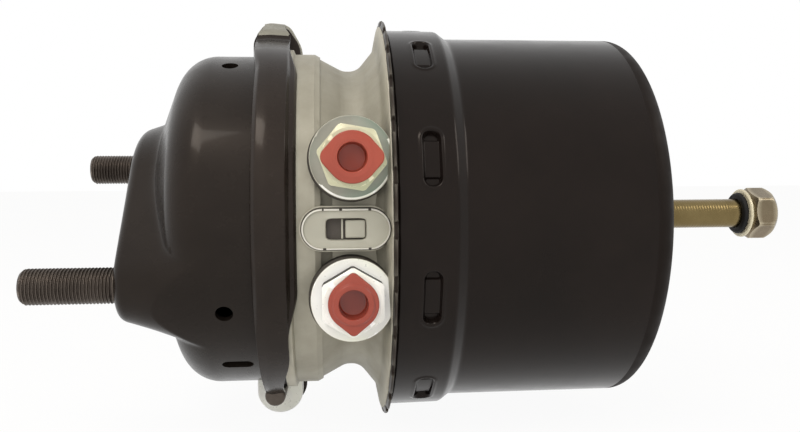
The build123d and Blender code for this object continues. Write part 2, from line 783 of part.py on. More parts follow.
with BuildPart() as breather_filter:
    with BuildSketch(Plane.XZ.offset(-vent_seat_y - seat_gap)):
        with Locations((cover_x, 0)):
            SlotOverall(
                cover_length - 2 * breather_wall - soft_gap,
                cover_width - 2 * breather_wall - soft_gap,
            )
    extrude(amount=soft_gap - breather_depth)
    with BuildSketch(Plane.XZ.offset(-vent_seat_y)):
        with Locations((cover_x - window_length / 4, 0)):
            Rectangle(window_length / 2 - window_round, window_width - window_round)
    extrude(amount=-breather_depth / 2, mode=Mode.SUBTRACT)
save(breather_filter.part, "breather_filter")

# ---------------------------------------------------------------- port fittings and plugs
def port_fitting(level, turn):
    """Hexagon adapter screwed into a port boss."""
    with BuildPart() as fitting:
        with BuildSketch(Plane.XZ.offset(-port_face_y)):
            with Locations((port_x, level * port_z)):
                RegularPolygon(fitting_af / 2, 6, major_radius=False, rotation=turn)
        extrude(amount=fitting_hex)
        with BuildSketch(Plane.XZ.offset(-fitting_top_y)):
            with Locations((port_x, level * port_z)):
                Circle(fitting_af / 2)
        extrude(amount=-fitting_hex, taper=-hex_slope, mode=Mode.INTERSECT)
        with BuildSketch(Plane.XZ.offset(-port_face_y)):
            with Locations((port_x, level * port_z)):
                Circle(port_thread_r - running_gap)
        extrude(amount=-fitting_stub)
        with BuildSketch(Plane.XZ.offset(-fitting_top_y)):
            with Locations((port_x, level * port_z)):
                Circle(fitting_bore_r)
        extrude(amount=-fitting_hex - fitting_stub, mode=Mode.SUBTRACT)
    return fitting.part


def port_plug(level, turn):
    """Push-in transport plug with a lemon-shaped head and a round recess."""
    with BuildPart() as plug:
        with BuildSketch(Plane.XZ.offset(seat_gap - fitting_top_y)):
            with Locations(Location((port_x, level * port_z, 0), (0, 0, turn))):
                Circle(plug_short / 2)
                with Locations((plug_long / 2 - plug_nose_r, 0), (plug_nose_r - plug_long / 2, 0)):
                    Circle(plug_nose_r)
            make_hull()
        extrude(amount=plug_head)
        fillet(plug.faces().sort_by(Axis.Y)[0].edges(), plug_nose_r / 2)
        with BuildSketch(Plane.XZ.offset(seat_gap - fitting_top_y)):
            with Locations((port_x, level * port_z)):
                Circle(fitting_bore_r - running_gap)
        extrude(amount=-plug_shank)
        with BuildSketch(Plane.XZ.offset(seat_gap - fitting_top_y + plug_head)):
            with Locations((port_x, level * port_z)):
                Circle(plug_recess_r)
        extrude(amount=-plug_recess, mode=Mode.SUBTRACT)
    return plug.part


save(port_fitting(1, upper_turn), "port_fitting_upper")
save(port_fitting(-1, lower_turn), "port_fitting_lower")
save(port_plug(1, 0), "port_plug_upper")
save(port_plug(-1, 90), "port_plug_lower")

# ---------------------------------------------------------------- spring housing
with BuildPart() as spring_housing:
    with BuildSketch(Plane.XZ) as side:
        Polygon(
            (collar_x0, collar_r - collar_wall),
            (collar_x0, collar_r),
            (collar_x, collar_r),
            (collar_step_x, cyl_r),
            (cyl_end_x, cyl_r),
            (cyl_end_x, nut_r + seat_gap),
            (cyl_end_in_x, nut_r + seat_gap),
            (cyl_end_in_x, bore_r),
            (spigot_x + soft_gap, bore_r),
            (spigot_x + soft_gap, collar_r - collar_wall),
        )
        fillet([corner(side, collar_x, collar_r), corner(side, collar_step_x, cyl_r)], collar_round)
        fillet(corner(side, cyl_end_x, cyl_r), cyl_corner)
        fillet(corner(side, cyl_end_in_x, bore_r), cyl_corner - cyl_wall)
    revolve(axis=Axis.X)
    for index in range(stake_count):
        face = radial(stake_angle + index * 360 / stake_count, 0.0, stake_x)
        with BuildSketch(face.offset(collar_r - collar_wall - stake_in)):
            RectangleRounded(stake_width - stake_in, stake_length - stake_in, stake_round - stake_in / 2)
        extrude(amount=collar_wall)
    with BuildSketch(Plane.YZ.offset(collar_x0)):
        Circle(collar_r - collar_wall - stake_in)
    extrude(amount=collar_x - collar_x0, mode=Mode.SUBTRACT)
    for index in range(stake_count):
        face = radial(stake_angle + index * 360 / stake_count, 0.0, stake_x)
        with BuildSketch(face.offset(collar_r)):
            RectangleRounded(stake_width, stake_length, stake_round)
        extrude(amount=-stake_deep, mode=Mode.SUBTRACT)
save(spring_housing.part, "spring_housing")

with BuildPart() as lock_ring:
    with BuildSketch(Plane.XZ):
        Polygon(
            (lock_x, spigot_r + seat_gap),
            (lock_x, lock_r - lock_edge),
            (lock_x + lock_edge, lock_r),
            (lock_x + lock_crest, lock_r),
            (lock_x + lock_thick, collar_r),
            (lock_x + lock_thick, spigot_r + seat_gap),
        )
    revolve(axis=Axis.X)
    with BuildSketch(Plane.YZ.offset(lock_x)):
        with PolarLocations(lock_r, lock_notches):
            Rectangle(2 * lock_cut, lock_notch)
    extrude(amount=lock_thick, mode=Mode.SUBTRACT)
save(lock_ring.part, "lock_ring")

# ---------------------------------------------------------------- parking piston group
piston_r = bore_r - running_gap
piston_body_r = piston_r - soft_gap
piston_rim_in_r = piston_body_r - piston_rim_wall
boss_x = piston_hub_x + piston_wall + piston_rim_wall
with BuildPart() as parking_piston:
    with BuildSketch(Plane.XZ) as side:
        Polygon(
            (piston_hub_x, tube_r + seat_gap / 2),
            (piston_hub_x, piston_hub_r),
            (piston_x, piston_rim_in_r + seal_groove),
            (piston_x, piston_body_r),
            (piston_x + piston_rim, piston_body_r),
            (piston_x + piston_rim, piston_rim_in_r),
            (spring_seat_x, piston_rim_in_r),
            (spring_seat_x, spring_mean_r - 2 * spring_wire_r),
            (piston_hub_x + piston_wall, piston_hub_r),
            (boss_x, piston_hub_r - piston_rim_wall),
            (boss_x, bolt_r + soft_gap),
            (tube_x1, bolt_r + soft_gap),
            (tube_x1, tube_r + seat_gap / 2),
        )
        fillet([corner(side, spring_seat_x, piston_rim_in_r), corner(side, piston_hub_x, piston_hub_r)], piston_round)
    revolve(axis=Axis.X)
    for groove_x, width, depth in ((seal_x0, seal_width, seal_groove), (wear_x0, wear_width, wear_groove)):
        with BuildSketch(Plane.XZ):
            Polygon(
                (groove_x - seat_gap, piston_body_r - depth),
                (groove_x + width + seat_gap, piston_body_r - depth),
                (groove_x + width + seat_gap, piston_r),
                (groove_x - seat_gap, piston_r),
            )
        revolve(axis=Axis.X, mode=Mode.SUBTRACT)
save(parking_piston.part, "parking_piston")
bush("piston_seal", seal_x0, seal_x0 + seal_width, piston_body_r - seal_groove + seat_gap, piston_r)
bush("piston_guide_ring", wear_x0, wear_x0 + wear_width, piston_body_r - wear_groove + seat_gap, piston_r)
bush("piston_tube", tube_x0 + tube_cap + seat_gap, tube_x1 - seat_gap, tube_r - tube_wall, tube_r)

with BuildPart() as tube_end_cap:
    with BuildSketch(Plane.XZ) as side:
        Polygon(
            (tube_x0, 0),
            (tube_x0, tube_r),
            (tube_x0 + tube_cap, tube_r),
            (tube_x0 + tube_cap, tube_r - tube_wall - running_gap),
            (tube_x0 + 2 * tube_cap, tube_r - tube_wall - running_gap),
            (tube_x0 + 2 * tube_cap, 0),
        )
        fillet(corner(side, tube_x0, tube_r), tube_nose)
    revolve(axis=Axis.X)
save(tube_end_cap.part, "tube_end_cap")

power_x0 = spring_seat_x + seat_gap + spring_wire_r
power_x1 = cyl_end_in_x - seat_gap - spring_wire_r
power_spring = coil(power_x0, power_x1, spring_mean_r, spring_mean_r, spring_turns, spring_wire_r)
save(power_spring, "power_spring")

# ---------------------------------------------------------------- release bolt group
with BuildPart() as release_bolt:
    with BuildSketch(Plane.XZ) as side:
        Polygon(
            (bolt_inner_x, 0),
            (bolt_inner_x, bolt_r),
            (clip_x0, bolt_r),
            (clip_x0, bolt_r - clip_groove),
            (clip_x0 + clip_thick + seat_gap, bolt_r - clip_groove),
            (clip_x0 + clip_thick + seat_gap, bolt_r),
            (bolt_flange_x0, bolt_r),
            (bolt_flange_x0, bolt_flange_r),
            (bolt_hex_x0, bolt_flange_r),
            (bolt_hex_x0, 0),
        )
        chamfer(corner(side, bolt_inner_x, bolt_r), edge_break)
    revolve(axis=Axis.X)
    with BuildSketch(Plane.YZ.offset(bolt_hex_x0)):
        RegularPolygon(bolt_hex_af / 2, 6, major_radius=False, rotation=hex_turn)
    extrude(amount=bolt_hex_x1 - bolt_hex_x0)
    # turned chamfer across the hexagon's corners
    hex_corner_r = bolt_hex_af / sqrt(3)
    with BuildSketch(Plane.XZ):
        Polygon(
            (bolt_hex_x1 - hex_chamfer, hex_corner_r),
            (bolt_hex_x1, bolt_hex_af / 2 - hex_face),
            (bolt_hex_x1, hex_corner_r),
        )
    revolve(axis=Axis.X, mode=Mode.SUBTRACT)
save(release_bolt.part, "release_bolt")

with BuildPart() as bolt_seal_ring:
    with BuildSketch(Plane.XZ) as side:
        Polygon(
            (bolt_seal_x0, bolt_r + running_gap),
            (bolt_seal_x0, bolt_seal_r),
            (bolt_flange_x0 - seat_gap, bolt_seal_r),
            (bolt_flange_x0 - seat_gap, bolt_r + running_gap),
        )
        fillet(corner(side, bolt_seal_x0, bolt_seal_r), bolt_seal_round)
    revolve(axis=Axis.X)
save(bolt_seal_ring.part, "bolt_seal_ring")

thrust_x0 = clip_x0 + clip_thick + seat_gap
bush("thrust_collar", thrust_x0 + seat_gap, tube_x1 - seat_gap, bolt_r + running_gap, thrust_r)

with BuildPart() as retaining_clip:
    with BuildSketch(Plane.YZ.offset(clip_x0 + seat_gap / 2)):
        Circle(bolt_r + clip_groove)
        Circle(bolt_r - clip_groove + running_gap, mode=Mode.SUBTRACT)
        with Locations((0, -bolt_r)):
            Rectangle(2 * clip_groove, 2 * bolt_r, mode=Mode.SUBTRACT)
    extrude(amount=clip_thick)
save(retaining_clip.part, "retaining_clip")

with BuildPart() as release_nut:
    with BuildSketch(Plane.XZ) as side:
        Polygon(
            (nut_x0, bolt_r + running_gap),
            (nut_x0, nut_r),
            (cyl_end_in_x - nut_flange, nut_r),
            (cyl_end_in_x - nut_flange, nut_flange_r),
            (cyl_end_in_x, nut_flange_r),
            (cyl_end_in_x, nut_r),
            (nut_x1, nut_r),
            (nut_x1, bolt_r + running_gap),
        )
        chamfer([corner(side, nut_x1, nut_r), corner(side, nut_x0, nut_r)], edge_break)
    revolve(axis=Axis.X)
save(release_nut.part, "release_nut")
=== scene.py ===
import json
import math

import bmesh
import bpy
import numpy as np
from mathutils import Matrix, Vector


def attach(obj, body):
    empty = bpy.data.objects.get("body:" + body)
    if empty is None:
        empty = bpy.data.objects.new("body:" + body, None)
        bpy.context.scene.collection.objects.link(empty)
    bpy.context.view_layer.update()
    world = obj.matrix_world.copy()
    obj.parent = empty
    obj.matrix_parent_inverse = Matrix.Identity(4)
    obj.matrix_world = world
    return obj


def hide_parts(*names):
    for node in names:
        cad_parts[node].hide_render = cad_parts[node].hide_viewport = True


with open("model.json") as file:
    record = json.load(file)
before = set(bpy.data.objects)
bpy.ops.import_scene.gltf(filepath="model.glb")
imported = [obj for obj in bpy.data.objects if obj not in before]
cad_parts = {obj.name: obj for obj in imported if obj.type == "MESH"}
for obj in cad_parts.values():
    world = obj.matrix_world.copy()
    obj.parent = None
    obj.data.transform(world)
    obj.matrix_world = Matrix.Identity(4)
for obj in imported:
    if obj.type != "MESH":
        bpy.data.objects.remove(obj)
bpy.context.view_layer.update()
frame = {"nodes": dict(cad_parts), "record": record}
NODES = frame["nodes"]
scene = bpy.context.scene
MM = 0.001

# ------------------------------------------------------------------ camera, fitted to the photograph
YAW, PITCH, ROLL = math.radians(5.25), math.radians(3.1), math.radians(-0.36)
EYE = (0.091, -0.40667, 0.02256)
LENS = 35.41
SENSOR = 36.0
forward = Vector((math.sin(YAW) * math.cos(PITCH), math.cos(YAW) * math.cos(PITCH), -math.sin(PITCH)))
right = Vector((math.cos(YAW), -math.sin(YAW), 0.0))
up = right.cross(forward)
cam_x = right * math.cos(ROLL) + up * math.sin(ROLL)
cam_y = up * math.cos(ROLL) - right * math.sin(ROLL)
facing = Matrix((cam_x, cam_y, -forward)).transposed().to_4x4()
cam = bpy.data.objects.new("camera", bpy.data.cameras.new("camera"))
scene.collection.objects.link(cam)
cam.data.lens = LENS
cam.data.sensor_width = SENSOR
cam.data.sensor_fit = "HORIZONTAL"
cam.matrix_world = Matrix.Translation(EYE) @ facing
scene.camera = cam
scene.view_settings.view_transform = "Standard"


# ------------------------------------------------------------------ materials
def new_material(name):
    """An empty node material with its shader and output."""
    mat = bpy.data.materials.new(name)
    mat.use_nodes = True
    tree = mat.node_tree
    tree.nodes.clear()
    out = tree.nodes.new("ShaderNodeOutputMaterial")
    shader = tree.nodes.new("ShaderNodeBsdfPrincipled")
    tree.links.new(shader.outputs[0], out.inputs["Surface"])
    coord = tree.nodes.new("ShaderNodeTexCoord")
    return mat, tree, shader, coord.outputs["Object"]


def noise(tree, coord, scale, detail=3.0, roughness=0.5, stretch=None):
    """Noise value 0..1 at a scale in features per metre."""
    if stretch:
        mapping = tree.nodes.new("ShaderNodeMapping")
        mapping.inputs["Scale"].default_value = stretch
        tree.links.new(coord, mapping.inputs["Vector"])
        coord = mapping.outputs[0]
    tex = tree.nodes.new("ShaderNodeTexNoise")
    tex.inputs["Scale"].default_value = scale
    tex.inputs["Detail"].default_value = detail
    tex.inputs["Roughness"].default_value = roughness
    tree.links.new(coord, tex.inputs["Vector"])
    return tex.outputs["Fac"]


def spread(tree, value, low, high, from_low=0.3, from_high=0.7):
    """Map a value from one range to another."""
    node = tree.nodes.new("ShaderNodeMapRange")
    node.inputs["From Min"].default_value = from_low
    node.inputs["From Max"].default_value = from_high
    node.inputs["To Min"].default_value = low
    node.inputs["To Max"].default_value = high
    tree.links.new(value, node.inputs["Value"])
    return node.outputs[0]


def mix(tree, fac, a, b):
    """Colour a where fac is 0 and b where it is 1; a or b may be a socket."""
    node = tree.nodes.new("ShaderNodeMix")
    node.data_type = "RGBA"
    tree.links.new(fac, node.inputs["Factor"])
    colour_a, colour_b = node.inputs[6], node.inputs[7]
    for socket, value in ((colour_a, a), (colour_b, b)):
        if isinstance(value, tuple):
            socket.default_value = (*value, 1.0)
        else:
            tree.links.new(value, socket)
    return node.outputs[2]


def bump(tree, shader, height, strength, distance, before=None):
    """Bump from a height value; distance is in metres."""
    node = tree.nodes.new("ShaderNodeBump")
    node.inputs["Strength"].default_value = strength
    node.inputs["Distance"].default_value = distance
    tree.links.new(height, node.inputs["Height"])
    if before:
        tree.links.new(before, node.inputs["Normal"])
    tree.links.new(node.outputs[0], shader.inputs["Normal"])
    return node.outputs[0]


def edges(tree, low, high):
    """1 on convex edges, 0 elsewhere; low and high are values of Pointiness, which is 0.5 on flat faces."""
    geo = tree.nodes.new("ShaderNodeNewGeometry")
    return spread(tree, geo.outputs["Pointiness"], 0.0, 1.0, low, high)


def clouded(tree, coord, scale, detail, roughness, dark, light):
    """Base colour that drifts between two tones."""
    return mix(tree, spread(tree, noise(tree, coord, scale, detail, roughness), 0.0, 1.0), dark, light)


def paint(name, dark, light, rough, coat, ridge=None):
    """Sprayed paint: colour clouds, smudges and fine orange peel; the optional edge tone is a painted
    highlight on convex edges.
    """
    mat, tree, shader, coord = new_material(name)
    shader.inputs["Specular IOR Level"].default_value = 0.13
    shader.inputs["Specular Tint"].default_value = (1.0, 0.88, 0.78, 1.0)
    base = clouded(tree, coord, 18.0, 4.0, 0.6, dark, light)
    # Painted highlight: convex edges turn to a lighter tone.
    if ridge:
        base = mix(tree, edges(tree, 0.515, 0.57), base, ridge)
    tree.links.new(base, shader.inputs["Base Color"])
    smudge = noise(tree, coord, 60.0, 5.0, 0.65)
    tree.links.new(spread(tree, smudge, rough * 0.8, rough * 1.35), shader.inputs["Roughness"])
    shader.inputs["Coat Weight"].default_value = coat
    shader.inputs["Coat Roughness"].default_value = 0.07
    grain = noise(tree, coord, 900.0, 2.0, 0.5)
    wave = noise(tree, coord, 130.0, 1.0, 0.4)
    first = bump(tree, shader, grain, 0.125, 0.00003)
    bump(tree, shader, wave, 0.25, 0.00012, first)
    return mat


def cast(name, dark, light, rough):
    """Sand or die cast metal: cloudy tone, lumps, fine grain and brighter rubbed edges."""
    mat, tree, shader, coord = new_material(name)
    shader.inputs["Metallic"].default_value = 0.35
    base = clouded(tree, coord, 26.0, 5.0, 0.65, dark, light)
    rubbed = tuple(min(1.0, c * 1.25) for c in light)
    tree.links.new(mix(tree, edges(tree, 0.51, 0.56), base, rubbed), shader.inputs["Base Color"])
    patches = noise(tree, coord, 90.0)
    tree.links.new(spread(tree, patches, rough * 0.85, rough * 1.15), shader.inputs["Roughness"])
    grain = noise(tree, coord, 1500.0, 3.0, 0.6)
    lumps = noise(tree, coord, 260.0, 3.0, 0.55)
    first = bump(tree, shader, lumps, 0.5, 0.00025)
    bump(tree, shader, grain, 0.4, 0.0001, first)
    return mat


def plated(name, dark, light, rough, metal=1.0, tint=None, stretch=(1.0, 1.0, 1.0), grain=0.2, rim=False):
    """Plated or machined steel: cloudy passivation, tool lines and a painted highlight on the edges; with
    rim, a matt painted highlight line where the edges lose their metal.
    """
    mat, tree, shader, coord = new_material(name)
    shader.inputs["Metallic"].default_value = metal
    base = clouded(tree, coord, 45.0, 4.0, 0.6, dark, light)
    if tint:
        patch = spread(tree, noise(tree, coord, 22.0, 2.0, 0.5), 0.0, 0.8, 0.48, 0.66)
        base = mix(tree, patch, base, tint)
    # Painted highlight: convex edges turn to a pale matt tone, so they read as light lines.
    if rim:
        ridge = edges(tree, 0.52, 0.565)
        highlight_tone = (0.62, 0.55, 0.40)
        tree.links.new(spread(tree, ridge, metal, 0.15), shader.inputs["Metallic"])
    else:
        # Painted highlight: convex edges turn lighter than the base tone.
        ridge = edges(tree, 0.52, 0.6)
        highlight_tone = tuple(min(1.0, c * 1.45) for c in light)
    tree.links.new(mix(tree, ridge, base, highlight_tone), shader.inputs["Base Color"])
    lines = noise(tree, coord, 700.0, 2.0, 0.5, stretch)
    tree.links.new(spread(tree, lines, rough * 0.75, rough * 1.3), shader.inputs["Roughness"])
    bump(tree, shader, lines, grain, 0.00004)
    return mat


def moulded(name, dark, light, rough, grain=0.15, soft=0.0, shine=0.5):
    """Moulded plastic or rubber: even colour with slight mottling and fine surface grain."""
    mat, tree, shader, coord = new_material(name)
    shader.inputs["Specular IOR Level"].default_value = shine
    tree.links.new(clouded(tree, coord, 40.0, 3.0, 0.5, dark, light), shader.inputs["Base Color"])
    handled = noise(tree, coord, 200.0)
    tree.links.new(spread(tree, handled, rough * 0.85, rough * 1.2), shader.inputs["Roughness"])
    shader.inputs["Subsurface Weight"].default_value = soft
    shader.inputs["Subsurface Scale"].default_value = 0.001
    bump(tree, shader, noise(tree, coord, 1200.0, 2.0, 0.5), grain, 0.00006)
    return mat


MATS = {}


def add(maker, name, *tones, **more):
    """Make a material by its maker and file it under its name."""
    MATS[name] = maker(name, *tones, **more)


RING_DARK, RING_LIGHT = (0.0120, 0.0090, 0.0074), (0.0230, 0.0175, 0.0145)
add(paint, "black_paint", (0.0095, 0.0071, 0.0057), (0.0165, 0.0127, 0.0105), rough=0.25, coat=0.1)
add(paint, "drum_paint", (0.0045, 0.0032, 0.0028), (0.0085, 0.0058, 0.0050), rough=0.19, coat=0.08)
add(paint, "drum_end", (0.0060, 0.0044, 0.0038), (0.0074, 0.0053, 0.0046), rough=0.52, coat=0.0)
add(paint, "ring_paint", RING_DARK, RING_LIGHT, rough=0.24, coat=0.1)
# The seam ring's paint carries a painted highlight on its convex edges.
add(paint, "seam_paint", RING_DARK, RING_LIGHT, rough=0.34, coat=0.02, ridge=(0.14, 0.13, 0.11))
# A lighter grey tone for the top of the front clamp strap: a painted sheen.
add(plated, "ear_worn", (0.17, 0.165, 0.135), (0.27, 0.26, 0.215), rough=0.45, metal=0.2,
    tint=(0.20, 0.21, 0.16), grain=0.05)
add(cast, "cast_alloy", (0.25, 0.235, 0.185), (0.37, 0.35, 0.285), rough=0.55)
# A near-black tone put where shade falls: painted shade beside bosses, in gaps and notches and on hexagon
# sides.
add(cast, "cast_dark", (0.012, 0.010, 0.008), (0.035, 0.030, 0.024), rough=0.6)
add(plated, "dark_steel", (0.065, 0.052, 0.043), (0.13, 0.108, 0.091), rough=0.42, metal=0.9)
add(plated, "yellow_zinc", (0.145, 0.105, 0.044), (0.22, 0.165, 0.074), rough=0.24,
    tint=(0.20, 0.18, 0.085), grain=0.03)
# The hexagon zinc's matt pale edge lines are a painted highlight.
add(plated, "hex_zinc", (0.16, 0.125, 0.078), (0.24, 0.198, 0.13), rough=0.27, metal=0.95,
    tint=(0.20, 0.15, 0.095), stretch=(0.12, 0.12, 0.12), grain=0.0, rim=True)
# A pale, mostly matt zinc tone for the washer: a painted highlight.
add(plated, "rim_zinc", (0.58, 0.52, 0.36), (0.76, 0.70, 0.52), rough=0.3, metal=0.25, grain=0.03)
add(plated, "grey_zinc", (0.46, 0.43, 0.33), (0.68, 0.66, 0.56), rough=0.33, tint=(0.60, 0.62, 0.44))
add(plated, "face_zinc", (0.19, 0.185, 0.15), (0.31, 0.30, 0.255), rough=0.4, metal=0.3,
    tint=(0.135, 0.23, 0.17), grain=0.04)
# A near-white zinc tone: a painted highlight, used where faces are lit.
add(plated, "bright_zinc", (0.72, 0.71, 0.67), (0.86, 0.85, 0.82), rough=0.35, metal=0.2,
    tint=(0.80, 0.82, 0.68), grain=0.04)
add(plated, "pale_zinc", (0.40, 0.38, 0.235), (0.60, 0.58, 0.42), rough=0.35, metal=0.2,
    tint=(0.47, 0.515, 0.325), grain=0.02)
add(moulded, "plug_plastic", (0.255, 0.040, 0.022), (0.325, 0.055, 0.030), rough=0.42, grain=0.1, soft=0.03)
add(moulded, "gloss_plug", (0.23, 0.035, 0.019), (0.30, 0.048, 0.026), rough=0.16, grain=0.1, soft=0.03)
add(moulded, "cover_plastic", (0.30, 0.29, 0.235), (0.37, 0.36, 0.30), rough=0.5, grain=0.3)
# A light tone for the cover's rim: a painted highlight.
add(moulded, "cover_edge", (0.52, 0.51, 0.46), (0.66, 0.65, 0.60), rough=0.4, grain=0.3)
add(moulded, "felt", (0.022, 0.019, 0.016), (0.07, 0.062, 0.055), rough=0.95, grain=1.0)
add(moulded, "black_rubber", (0.006, 0.006, 0.006), (0.014, 0.013, 0.012), rough=0.55, grain=0.3, shine=0.2)
add(moulded, "guide_plastic", (0.02, 0.02, 0.02), (0.045, 0.043, 0.04), rough=0.5)
add(plated, "spring_steel", (0.06, 0.06, 0.065), (0.14, 0.14, 0.145), rough=0.45)
add(plated, "bright_steel", (0.42, 0.42, 0.42), (0.62, 0.61, 0.6), rough=0.25)

# the record's slot that each extra material belongs to
STAND_FOR = {"drum_paint": "black_paint", "drum_end": "black_paint",
             "ear_worn": "ring_paint", "seam_paint": "ring_paint",
             "hex_zinc": "yellow_zinc", "rim_zinc": "yellow_zinc",
             "cast_dark": "cast_alloy",
             "face_zinc": "grey_zinc", "bright_zinc": "grey_zinc", "pale_zinc": "grey_zinc",
             "gloss_plug": "plug_plastic", "cover_edge": "cover_plastic"}
SLOTS = {s["node"]: s["material_slot"] for s in frame["record"]["subparts"]}
for node, obj in NODES.items():
    obj.data.materials.clear()
    obj.data.materials.append(MATS[SLOTS[node]])


# ------------------------------------------------------------------ mesh tools (millimetres in, metres out)
def rounded(corners, closed=True, fine=8.0, fixed=0):
    """(x, r, radius) corners rounded to an outline, by degrees per point or points per corner."""
    out, count = [], len(corners)
    for i, (x, r, radius) in enumerate(corners):
        p = np.array((x, r), float)
        if radius <= 0 or (not closed and i in (0, count - 1)):
            out.append(p)
            continue
        u = np.array(corners[i - 1][:2], float) - p
        v = np.array(corners[(i + 1) % count][:2], float) - p
        lu, lv = np.linalg.norm(u), np.linalg.norm(v)
        u, v = u / lu, v / lv
        half = math.acos(max(-1.0, min(1.0, float(u @ v)))) / 2
        reach = min(radius / math.tan(half), 0.49 * lu, 0.49 * lv)
        arc = reach * math.tan(half)
        mid = p + (u + v) / np.linalg.norm(u + v) * arc / math.sin(half)
        a, b = p + u * reach - mid, p + v * reach - mid
        sweep = math.pi - 2 * half
        steps = fixed or max(2, math.ceil(math.degrees(sweep) / fine))
        for k in range(steps + 1):
            t = k / steps
            out.append(mid + (a * math.sin((1 - t) * sweep) + b * math.sin(t * sweep)) / math.sin(sweep))
    return np.array(out)


def build(name, verts, faces, mat, body, replaces=(), sharp=38.0, weld=0.0):
    """A mesh piece that rides on a body. Vertices in millimetres."""
    mesh = bpy.data.meshes.new(name)
    mesh.from_pydata((np.asarray(verts, float) * MM).tolist(), [], faces)
    if weld:
        work = bmesh.new()
        work.from_mesh(mesh)
        bmesh.ops.remove_doubles(work, verts=work.verts, dist=weld * MM)
        bmesh.ops.dissolve_degenerate(work, edges=work.edges, dist=weld * MM * 0.5)
        bmesh.ops.recalc_face_normals(work, faces=work.faces)
        work.to_mesh(mesh)
        work.free()
    mesh.validate()
    mesh.shade_smooth()
    mesh.set_sharp_from_angle(angle=math.radians(sharp))
    obj = bpy.data.objects.new(name, mesh)
    scene.collection.objects.link(obj)
    mesh.materials.append(MATS[mat])
    STAND_FOR.get(mat, mat)
    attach(obj, body)
    if replaces:
        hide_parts(*replaces)
    return obj


def grid(rows, cols, closed_rows, closed_cols):
    """Quads over a grid of vertices laid out row by row."""
    faces = []
    for i in range(rows if closed_rows else rows - 1):
        for j in range(cols if closed_cols else cols - 1):
            a, b = i * cols, ((i + 1) % rows) * cols
            k = (j + 1) % cols
            faces.append((a + j, a + k, b + k, b + j))
    return faces


def spin(outline, angles, place):
    """Vertices of an outline of (along, out) pairs carried round by place(along, out, angle)."""
    along, out = outline[:, 0], outline[:, 1]
    return np.concatenate([place(along, out, a) for a in angles])


def about_x(y0=0.0, z0=0.0):
    """Place on the axis through (y0, z0) along X; the angle rises from the port side."""
    def place(along, out, a):
        return np.stack([along, y0 - out * math.cos(a), z0 + out * math.sin(a)], 1)
    return place


def about_y(x0, z0):
    """Place on the axis through (x0, z0) towards the port side."""
    def place(along, out, a):
        return np.stack([x0 + out * math.cos(a), -along, z0 + out * math.sin(a)], 1)
    return place


def lathe(name, corners, mat, body, place, segments, replaces=(), closed=True, fine=8.0):
    """A turned piece from rounded corners."""
    outline = rounded(corners, closed, fine)
    angles = np.arange(segments) * 2 * math.pi / segments
    verts = spin(outline, angles, place)
    faces = grid(segments, len(outline), True, closed)
    return build(name, verts, faces, mat, body, replaces, weld=0.002)


def shaped(name, along, radius, mat, body, place, angles, replaces=(), sharp=38.0, caps=True):
    """A piece whose radius(along, angle) is sampled on a grid, capped flat at both ends."""
    verts = np.concatenate([place(along, radius(along, a), a) for a in angles])
    cols, rows = len(along), len(angles)
    faces = grid(rows, cols, True, False)
    if caps:
        faces.append([i * cols for i in range(rows)])
        faces.append([i * cols + cols - 1 for i in reversed(range(rows))])
    return build(name, verts, faces, mat, body, replaces, sharp, 0.0005)


def thread(pitch, depth, crest_r, x0, tip, runout):
    """Radius of a threaded shank that starts with a chamfered tip at x0 and runs out at runout."""
    def radius(x, a):
        phase = ((x - x0) / pitch - a / (2 * math.pi)) % 1.0
        cut = depth * np.clip(np.abs(phase * 2 - 1) * 1.35 - 0.12, 0.0, 1.0)
        cut = cut * np.clip((runout - x) / pitch, 0.0, 1.0)
        lead = np.clip((x - x0) / tip, 0.0, 1.0)
        return np.minimum(crest_r - cut, crest_r - (1.0 - lead) * tip * 0.8)
    return radius


# ------------------------------------------------------------------ service housing
STUD_ANGLE = math.radians(25.1)
STUD_CIRCLE = 120.65
STUD_DIR = np.array((-math.cos(STUD_ANGLE), -math.sin(STUD_ANGLE)))


def pad_reach(angle, grow):
    """Distance from the axis to the pad's outline, a hull of three circles, at an angle."""
    ray = np.array((-math.cos(angle), math.sin(angle)))
    mid_r, end_r, off = 44.0 + grow, 15.0 + grow, STUD_CIRCLE / 2
    best = mid_r
    for side in (1.0, -1.0):
        c = STUD_DIR * off * side
        b = float(ray @ c)
        inside = b * b - off * off + end_r * end_r
        if inside > 0:
            best = max(best, b + math.sqrt(inside))
        # straight flank between the middle circle and this end circle
        lean = math.asin((mid_r - end_r) / off)
        for flip in (1.0, -1.0):
            normal_angle = math.atan2(c[1], c[0]) + flip * (math.pi / 2 - lean)
            n = np.array((math.cos(normal_angle), math.sin(normal_angle)))
            down = float(ray @ n)
            if down > 1e-6:
                hit = ray * (mid_r / down)
                a, b2 = n * mid_r, c + n * end_r
                t = float((hit - a) @ (b2 - a)) / float((b2 - a) @ (b2 - a))
                if 0.0 <= t <= 1.0:
                    best = max(best, mid_r / down)
    return best


def soft_min(a, b, k):
    """Smooth smaller of two values with a blend k wide."""
    h = np.clip(0.5 + 0.5 * (b - a) / k, 0.0, 1.0)
    return b * (1 - h) + a * h - k * h * (1 - h)


